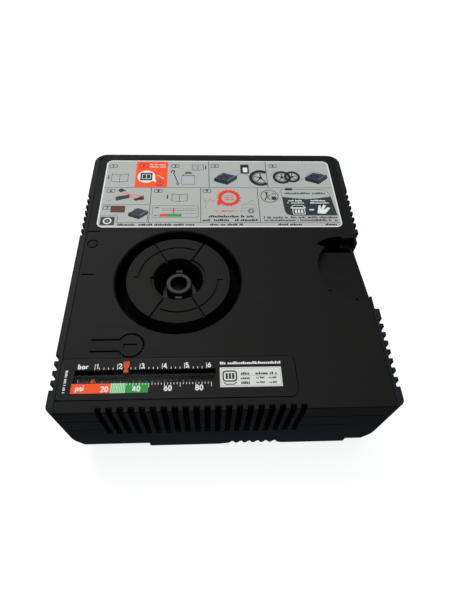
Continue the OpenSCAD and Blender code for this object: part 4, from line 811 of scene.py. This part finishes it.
def little_inflator(x, y, wide):
    """The inflator seen from a corner: three faces, a round dock and a gauge strip."""
    shape = np.array([(0, .42), (.42, .74), (1, .58), (.56, .2)]) * wide + (x, y)
    drop = np.array([0, -0.2 * wide])
    navy.outline(shape[[0, 3, 2, 1]])
    black.outline([shape[0], shape[0] + drop, shape[3] + drop, shape[3]])
    slate.outline([shape[3], shape[3] + drop, shape[2] + drop, shape[2]])
    angle = np.linspace(0, 2 * np.pi, 24, endpoint=False)
    dock = np.array([x + 0.42 * wide, y + 0.49 * wide])
    oval = np.stack([np.cos(angle) * 0.19, np.sin(angle) * 0.1], 1) * wide
    black.band(dock + oval, dock + 0.62 * oval, True)
    pale.line([shape[3] + (0.03 * wide, 0.07 * wide), shape[2] + (-0.08 * wide, 0.0)], 0.2)


def wheel(x, y, radius, ink=black, start=0.0, stop=360.0):
    """A tyre with a rim, a hub and five spokes, or the part of it between two angles."""
    centre = np.array([x, y])
    ink.ring(centre, 0.7 * radius, radius, start, stop)
    grey.ring(centre, 0.58 * radius, 0.66 * radius, start, stop)
    ink.ring(centre, 0, 0.16 * radius, parts=16)
    for spoke in np.arange(90, 450, 72) % 360:
        if start <= spoke <= stop:
            way = radius * heading(spoke)
            slate.line([centre + 0.16 * way, centre + 0.6 * way], 0.1 * radius)


def bottle(x, y, wide, high):
    """The sealant bottle: a shouldered outline with a collar and a level line."""
    outline = [(0, 0), (1, 0), (1, .66), (.84, .8), (.64, .82), (.64, 1), (.36, 1), (.36, .82),
               (.16, .8), (0, .66)]
    slate.line(np.array(outline) * (wide, high) + (x, y), 0.26, True)
    pale.bars((x + 0.1 * wide, y + 0.08 * high, x + 0.9 * wide, y + 0.6 * high))
    slate.bars([(x, y + 0.66 * high, x + wide, y + 0.7 * high),
                (x + 0.26 * wide, y + 0.84 * high, x + 0.74 * wide, y + 0.95 * high)])


def heading(degrees):
    """The direction of that angle."""
    return np.array([math.cos(math.radians(degrees)), math.sin(math.radians(degrees))])


def arrow(ink, tail, tip, width=0.25, head=1.3):
    """A straight arrow with a solid head."""
    tail, tip = np.array(tail, float), np.array(tip, float)
    way = (tip - tail) / np.linalg.norm(tip - tail)
    across = np.array([-way[1], way[0]])
    ink.line([tail, tip - head * way], width)
    ink.outline([tip, tip - head * way + 0.45 * head * across,
                 tip - head * way - 0.45 * head * across])


def bow(ink, start, stop, rise, width=0.24):
    """A hose or cable between two places: a parabola that rises or sags by rise."""
    along = np.linspace(0, 1, 14)[:, None]
    line = np.array(start) + along * (np.array(stop) - np.array(start))
    line[:, 1] += 4 * rise * (along * (1 - along))[:, 0]
    ink.line(line, width)


def step_number(number, x, y):
    """A step's number in a small box with round corners."""
    slate.frame((x - 2.8, y - 1.6, x + 2.8, y + 1.6), 0.45, 0.6)
    black.text(str(number), (x - 0.7, y - 1.1), 2.2, 0.26)


print("the label has", len(LAYERS), "layers of ink")

# %% [markdown]
# The label's grid comes first: a white band round its edge, thin dark rules, and a number in each
# cell, because the steps are read in order.

# %% Ruled cells and step numbers
CELL_LOW, CELL_MIDDLE, CELL_HIGH = 4.4, 39.2, 68.6
white.frame((0.45, 0.45, 168.55, 68.55), 0.9, 3.4)
slate.bars([(0.8, CELL_MIDDLE - 0.15, 168.2, CELL_MIDDLE + 0.15),
            (13.4, CELL_LOW - 0.15, 168.2, CELL_LOW + 0.15),
            (0.8, 21.5, 34.9, 21.76), (0.8, 10.6, 13.4, 10.86), (13.25, 4.4, 13.55, 10.86)])
slate.bars([(x - 0.22, CELL_MIDDLE, x + 0.22, CELL_HIGH) for x in (76.8, 120.2)])
slate.bars([(x - 0.22, CELL_LOW, x + 0.22, CELL_MIDDLE) for x in (34.9, 70.6, 111.9)])
steps = {1: (5, 62.6), 3: (51.4, 62.9), 4: (81.4, 63.1), 5: (125.8, 63.3), 6: (6, 35.7),
         7: (5.2, 18.7), 8: (40, 35.8), 9: (75.2, 35.8)}
for number, place in steps.items():
    step_number(number, *place)
slate.tab((2, 2.1, 11.6, 9.7), 0.5)
wheel(6.8, 5.9, 2.9, icons)

print("cells numbered:", sorted([*steps, 2]))

# %% [markdown]
# The upper row shows what to fetch and how to join it: read the booklet, fit the bottle, connect
# the hose to the wheel.

# %% Upper row: booklet, bottle, inflator and wheels
booklet(5, 44.8, 12, 9)
read_mark(2.7, 48.2)
orange.bars((22.4, CELL_MIDDLE + 0.3, 45.9, CELL_HIGH - 0.6))
icons.greeked((32.4, 60.6, 44.6, 65.8), 21, 1.3, 2)
black.frame((24.6, 60.6, 30.8, 65.4), 0.35, 1)
black.text("2", (26.8, 61.6), 2.6, 0.24)
white.ring((30.4, 50.9), 0, 6.6)
white.outline([(34, 47.2), (38.6, 44.2), (36.2, 50.2)])
slate.tab((26, 46.8, 34.8, 55.2), 0.6)
icons.frame((27.4, 48.6, 33.4, 53.4), 0.4, 0.3)
icons.bars((30.2, 48.6, 30.6, 53.4))
wheel(40.6, 44.8, 2.9, red)
black.line([(37.4, 42.2), (40, 40.8), (42.4, 42.4)], 0.5)
arrow(icons, (38.6, 52.4), (43.8, 48.4), 0.4, 1.8)
bottle(56.6, 42.4, 9.6, 14.2)
slate.line([(50.2, 55.2), (51.2, 52.4), (53.2, 46.4), (53.6, 44.4)], 0.75)
slate.ring((49.8, 56.6), 0.7, 1.7, -50, 230, 20)
grey.ring((53.8, 43.4), 0.4, 1.3, parts=20)
booklet(64.2, 58, 8.6, 6.4)
read_mark(74.4, 59.6)
little_inflator(80.6, 42.2, 17.2)
bow(black, (82.6, 50.4), (90.4, 54.2), 2.4, 0.4)
black.tab((100.8, 54.6, 107.2, 64.8), 1)
icons.bars((102.6, 56.2, 106, 61.4))
bow(grey, (90.6, 53.8), (101, 57.4), 2.6)
bow(grey, (96.8, 51.6), (107, 50.6), 4.2, 0.4)
wheel(115.4, 49.9, 8.6, black, 52, 308)
wheel(131.6, 50.6, 6.9)
wheel(139.4, 51.2, 6.1)
red.line([(125.8, 44.6), (128.2, 48.2), (131.4, 44.8), (134.6, 46.4), (136.2, 43)], 0.35)
grey.line([(122.6, 50.2), (126, 58)], 0.2)
bow(grey, (143.4, 47.4), (151.6, 54.4), -2.2)
bow(grey, (151, 52.6), (162.6, 54.6), 3.2, 0.4)
little_inflator(149, 43.2, 17.2)

# %% [markdown]
# The lower row starts at the car: the plug, the socket, the inflator, and then the gauge with its
# red and green bands. The plug is only a few overlapping outlines.

# %% Lower row: plug, lamp socket, booklet and gauge
slate.outline([(10, 29.6), (19.4, 31.6), (20, 28.4), (10.6, 25.6)])
slate.ring((13.4, 36.2), 0, 1.9, parts=20)
slate.bars((11.2, 35.4, 16.6, 36.8))
slate.outline([(22.6, 27), (29.8, 31), (30.4, 26.8), (24.4, 25.6)])
grey.line([(4.8, 25.4), (10.4, 27.4)], 0.24)
pale.line([(11, 30.4), (18.6, 32)], 0.5)
red.line([(16.6, 34.6), (20.6, 31.2), (24.4, 31.6), (30, 29.6)], 0.55)
orange.line([(14.8, 33.6), (22.4, 29), (29.4, 25.8)], 0.8)
brown.bars((8.2, 14.3, 17.6, 20.3))
black.frame((8.2, 14.3, 17.6, 20.3), 0.4, 0.3)
orange.bars([(9.9, 16.2, 12.2, 18.4), (13.4, 16.2, 15.8, 18.4)])
little_inflator(20.4, 7.6, 13.8)
bow(black, (24, 16.6), (33.4, 12), 3.2, 0.35)
black.line([(33.4, 12), (34, 8.4), (33.6, 5.4)], 0.35)
booklet(50, 24.6, 11, 8)
read_mark(46.8, 27.6)
slate.frame((36.9, 9.2, 68.8, 20.6), 0.24, 0.6)
slate.bars([(43.6, 18, 67.4, 18.16), (43.6, 15.8, 67.4, 15.96), (43.6, 13.2, 67.4, 13.36)])
slate.bars([(44 + 1.8 * k, 16, 44.2 + 1.8 * k, 17.2) for k in range(13)])
slate.greeked((38.2, 17.6, 42, 19.8), 51, 1)
slate.greeked((38.2, 10, 41.6, 12.4), 52, 1)
red.bars([(51, 12.9, 52.1, 18.4), (42, 10.1, 47.7, 12.4)])
green.bars((47.7, 10.1, 57.2, 12.4))

# %% [markdown]
# The one round picture is a ring with teeth. It could be one outline with many corners, but a
# ring plus short lines at even angles is easier to change.

# %% Lower row: the toothed dial and its arrows
dial = np.array([90.9, 28.6])
red.ring(dial, 5.3, 7.9)
for tooth in range(0, 360, 20):
    red.line([dial + 7.6 * heading(tooth), dial + 8.8 * heading(tooth)], 0.75)
red.outline([dial + (-8.6, -3), dial + (-3.6, -5), dial + (-8.4, -8)])
red.greeked((87.6, 26, 94.4, 31.6), 31, 1, 3)
red.line([(73.8, 26), (75.4, 24.2), (77.2, 27.2), (79.2, 24.8), (81.4, 26.4)], 0.35)
grey.line([(73, 27.6), (74.4, 22), (73.6, 17.8)], 0.3)
for hose in ([(99, 21), (104, 22.8), (109.8, 21.6)], [(99, 18.4), (110.4, 18.2)],
             [(104.8, 24.2), (107.2, 26.4), (109.6, 24)]):
    grey.line(hose, 0.24)
grey.ring((106, 15.4), 1.1, 2.3, parts=24)
red.greeked((84.4, 14.4, 96.8, 16.6), 33, 1.3)
arrow(red, (79, 15.4), (82.6, 15.4))
arrow(red, (101.6, 15.4), (98.2, 15.4))
black.greeked((74.8, 8.9, 108.4, 11.5), 34, 2)
black.greeked((71.8, 5.4, 111, 8), 35, 2)

# %% [markdown]
# The right end says how to throw the empty bottle away: a round sorting sign, and a dark panel
# with a folder-shaped frame over it. Its pictures are white, on a layer above all others.

# %% Right end: sorting sign and the dark panel
sign = np.array([120.4, 30.4])
slate.ring(sign, 6, 6.5)
black.ring(sign + (-2, 3.4), 0, 1, parts=16)
black.line([sign + (-2.2, 2.2), sign + (-1.8, -0.6), sign + (-3.6, -4)], 0.8)
black.line([sign + (-1.6, -0.4), sign + (0.2, -3.8)], 0.6)
black.line([sign + (-1.8, 1.4), sign + (0.8, 0.2)], 0.5)
slate.tab((sign[0] + 1.4, sign[1] - 3.8, sign[0] + 4.8, sign[1] - 0.4), 0.3)
slate.line([sign + (1.6, 1.4), sign + (3.2, 3.2), sign + (4.8, 1.2)], 0.5)
slate.line([(129.4, 30), (129.4, 37.4), (159.6, 37.4), (163.2, 35.8), (165.2, 30.6)], 0.28)
slate.tab((132.4, 36.4, 138, 38.8), 1.1)
slate.greeked((131.6, 31.6, 162.6, 35.2), 41, 1.7)
slate.outline([(129.4, 29.7), (137.6, 28.3), (147.2, 27.3), (156.6, 28.4), (165.3, 30),
               (167, 11), (134.6, 11), (131.4, 12.2), (130, 15.4)])
icons.greeked((133.6, 24.2, 144.4, 27.4), 42, 1.5)
icons.greeked((132.8, 22.2, 145.2, 24.8), 43, 1.3)
icons.greeked((149.8, 24.2, 161.6, 27.4), 44, 1.5)
icons.greeked((149.2, 22.2, 163.6, 24.8), 45, 1.3)
icons.line([(134.6, 18.4), (136.4, 21), (143.6, 21), (145.2, 18.4)], 0.45)
icons.bars((134.4, 18, 145.4, 18.9))
icons.frame((135.8, 12.2, 144.2, 17.4), 0.5, 0.3)
icons.bars([(137.2 + 2.2 * k, 13.2, 138.6 + 2.2 * k, 16.4) for k in range(3)])
icons.bars((147.6, 16, 151, 17.2))
icons.outline([(153, 13.2), (158.6, 12.6), (163, 18.2), (161.4, 19.2), (157.8, 16),
               (160.4, 21), (158.6, 21.6), (155.6, 17), (156.6, 21), (155, 21)])
black.greeked((114.6, 8, 167.4, 10.4), 46, 1.6)
black.greeked((114.6, 5.4, 167.4, 7.8), 47, 1.6)
for start, stop, seed in ((14, 68, 48), (77, 101, 49), (124, 143, 50), (157, 166, 51)):
    black.greeked((start, 1.2, stop, 3.8), seed, 1.8)

# %% [markdown]
# Real inks have no thickness worth the name. Here each layer lies a few thousandths of a
# millimetre over the one before, which settles what covers what and leaves no faces fighting.

# %% Lay the label's inks on the paper
FIRST_INK, INK_STEP = 0.02, 0.006  # millimetres above the paper, and from layer to layer
for layer, (name, sheet) in enumerate(zip(LAYERS, art)):
    print_sheet("label_print_" + name, sheet, "white" if name == "icons" else name,
                label_low[:2], label_high.z + (FIRST_INK + INK_STEP * layer) * MM)
print("the label has", sum(sheet.count for sheet in art), "points")

# %% [markdown]
# ## Coil springs
# Two coil springs work inside: a long one holds the gauge's piston back, and a short one lifts
# the release valve.

# %% Coil springs
PER_TURN, PER_RING = 20, 8  # points along each turn, and round the wire


def coil_spring(name, node, axis, turns, wire, joint):
    """Wire of that radius (mm) on a helix in the node's box, in place of the node. Returns the
    share of its length that is left once the joint has travelled its whole range."""
    wire = wire * MM
    low, high = (np.array(corner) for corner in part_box(node))
    middle, span = (low + high) / 2, high - low
    sides = [k for k in range(3) if k != axis]
    coil = span[sides].min() / 2 - wire
    turn_angle = np.linspace(0, 2 * np.pi * turns, turns * PER_TURN + 1)[:, None]
    ring_angle = np.linspace(0, 2 * np.pi, PER_RING, endpoint=False)[None, :]
    radius = coil + wire * np.cos(ring_angle)
    points = np.zeros((*np.broadcast(turn_angle, ring_angle).shape, 3))
    points[..., sides[0]] = middle[sides[0]] + radius * np.cos(turn_angle)
    points[..., sides[1]] = middle[sides[1]] + radius * np.sin(turn_angle)
    climb = low[axis] + wire + (span[axis] - 2 * wire) * turn_angle / turn_angle[-1]
    points[..., axis] = climb + wire * np.sin(ring_angle)
    number = np.arange(points[..., 0].size).reshape(-1, PER_RING)
    mesh = new_mesh(name, points, grid_faces(number, True) + [number[0, ::-1], number[-1]])
    mesh.validate()
    mesh.polygons.foreach_set("use_smooth", np.ones(len(mesh.polygons), bool))
    mesh.materials.append(FINISHES["spring_steel"])
    piece = new_object(name, mesh)
    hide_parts(node)
    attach(piece, "housing")
    travel = next(row for row in frame["joints"] if row["name"] == joint)["range_m"][1]
    keep = float((span[axis] - travel) / span[axis])
    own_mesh(piece)
    return round(keep, 2)


print("springs keep", coil_spring("gauge_coil", "gauge_spring", 0, 24, 0.25, "pointer_slide"),
      "and", coil_spring("valve_coil", "valve_spring", 2, 4, 0.3, "plunger_slide"),
      "of their length")

# %% [markdown]
# ## The living hinge
# The release tongue is moulded in one with the cover and bends at its root. In the model a
# hinge with a hair-thin gap stands in for that, and would show as a line. A short web bridges
# it: a strip whose top lies a hair under theirs, between the cover and the tongue.

# %% Web at the root of the tongue
ROWS, COLUMNS = 25, 5  # points along the web and across it
WEB_HALF = 3.15 * MM  # half the width of the tongue's neck
BEND_IN = 0.3 * MM  # a distance in from each of the web's ends

tongue_low, tongue_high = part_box("release_button")
pivot = next(j for j in frame["joints"] if j["name"] == "button_press")["pos_m"]
start, stop = tongue_low.x - 0.4 * MM, pivot[0] + 1.6 * MM
x, y = np.meshgrid(np.linspace(start, stop, ROWS),
                   pivot[1] + np.linspace(-WEB_HALF, WEB_HALF, COLUMNS), indexing="ij")
faces_z = (tongue_high.z - 0.012 * MM, tongue_low.z + 0.25 * MM)
points = np.array([np.stack([x, y, np.full_like(x, z)], -1) for z in faces_z])
number = np.arange(ROWS * COLUMNS).reshape(ROWS, COLUMNS)
upper = np.array(grid_faces(number.T))
rim = np.concatenate([number[:, 0], number[-1, 1:], number[-2::-1, -1], number[0, -2:0:-1]])
walls = grid_faces(np.array([rim + number.size, rim]), True)
mesh = new_mesh("hinge_web", points, [*upper, *(upper[:, ::-1] + number.size), *walls])
mesh.materials.append(FINISHES["case_black"])
web = new_object("hinge_web", mesh)
start + BEND_IN
stop - BEND_IN
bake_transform(web)
print("the web is", round((stop - start) / MM, 2), "mm long")
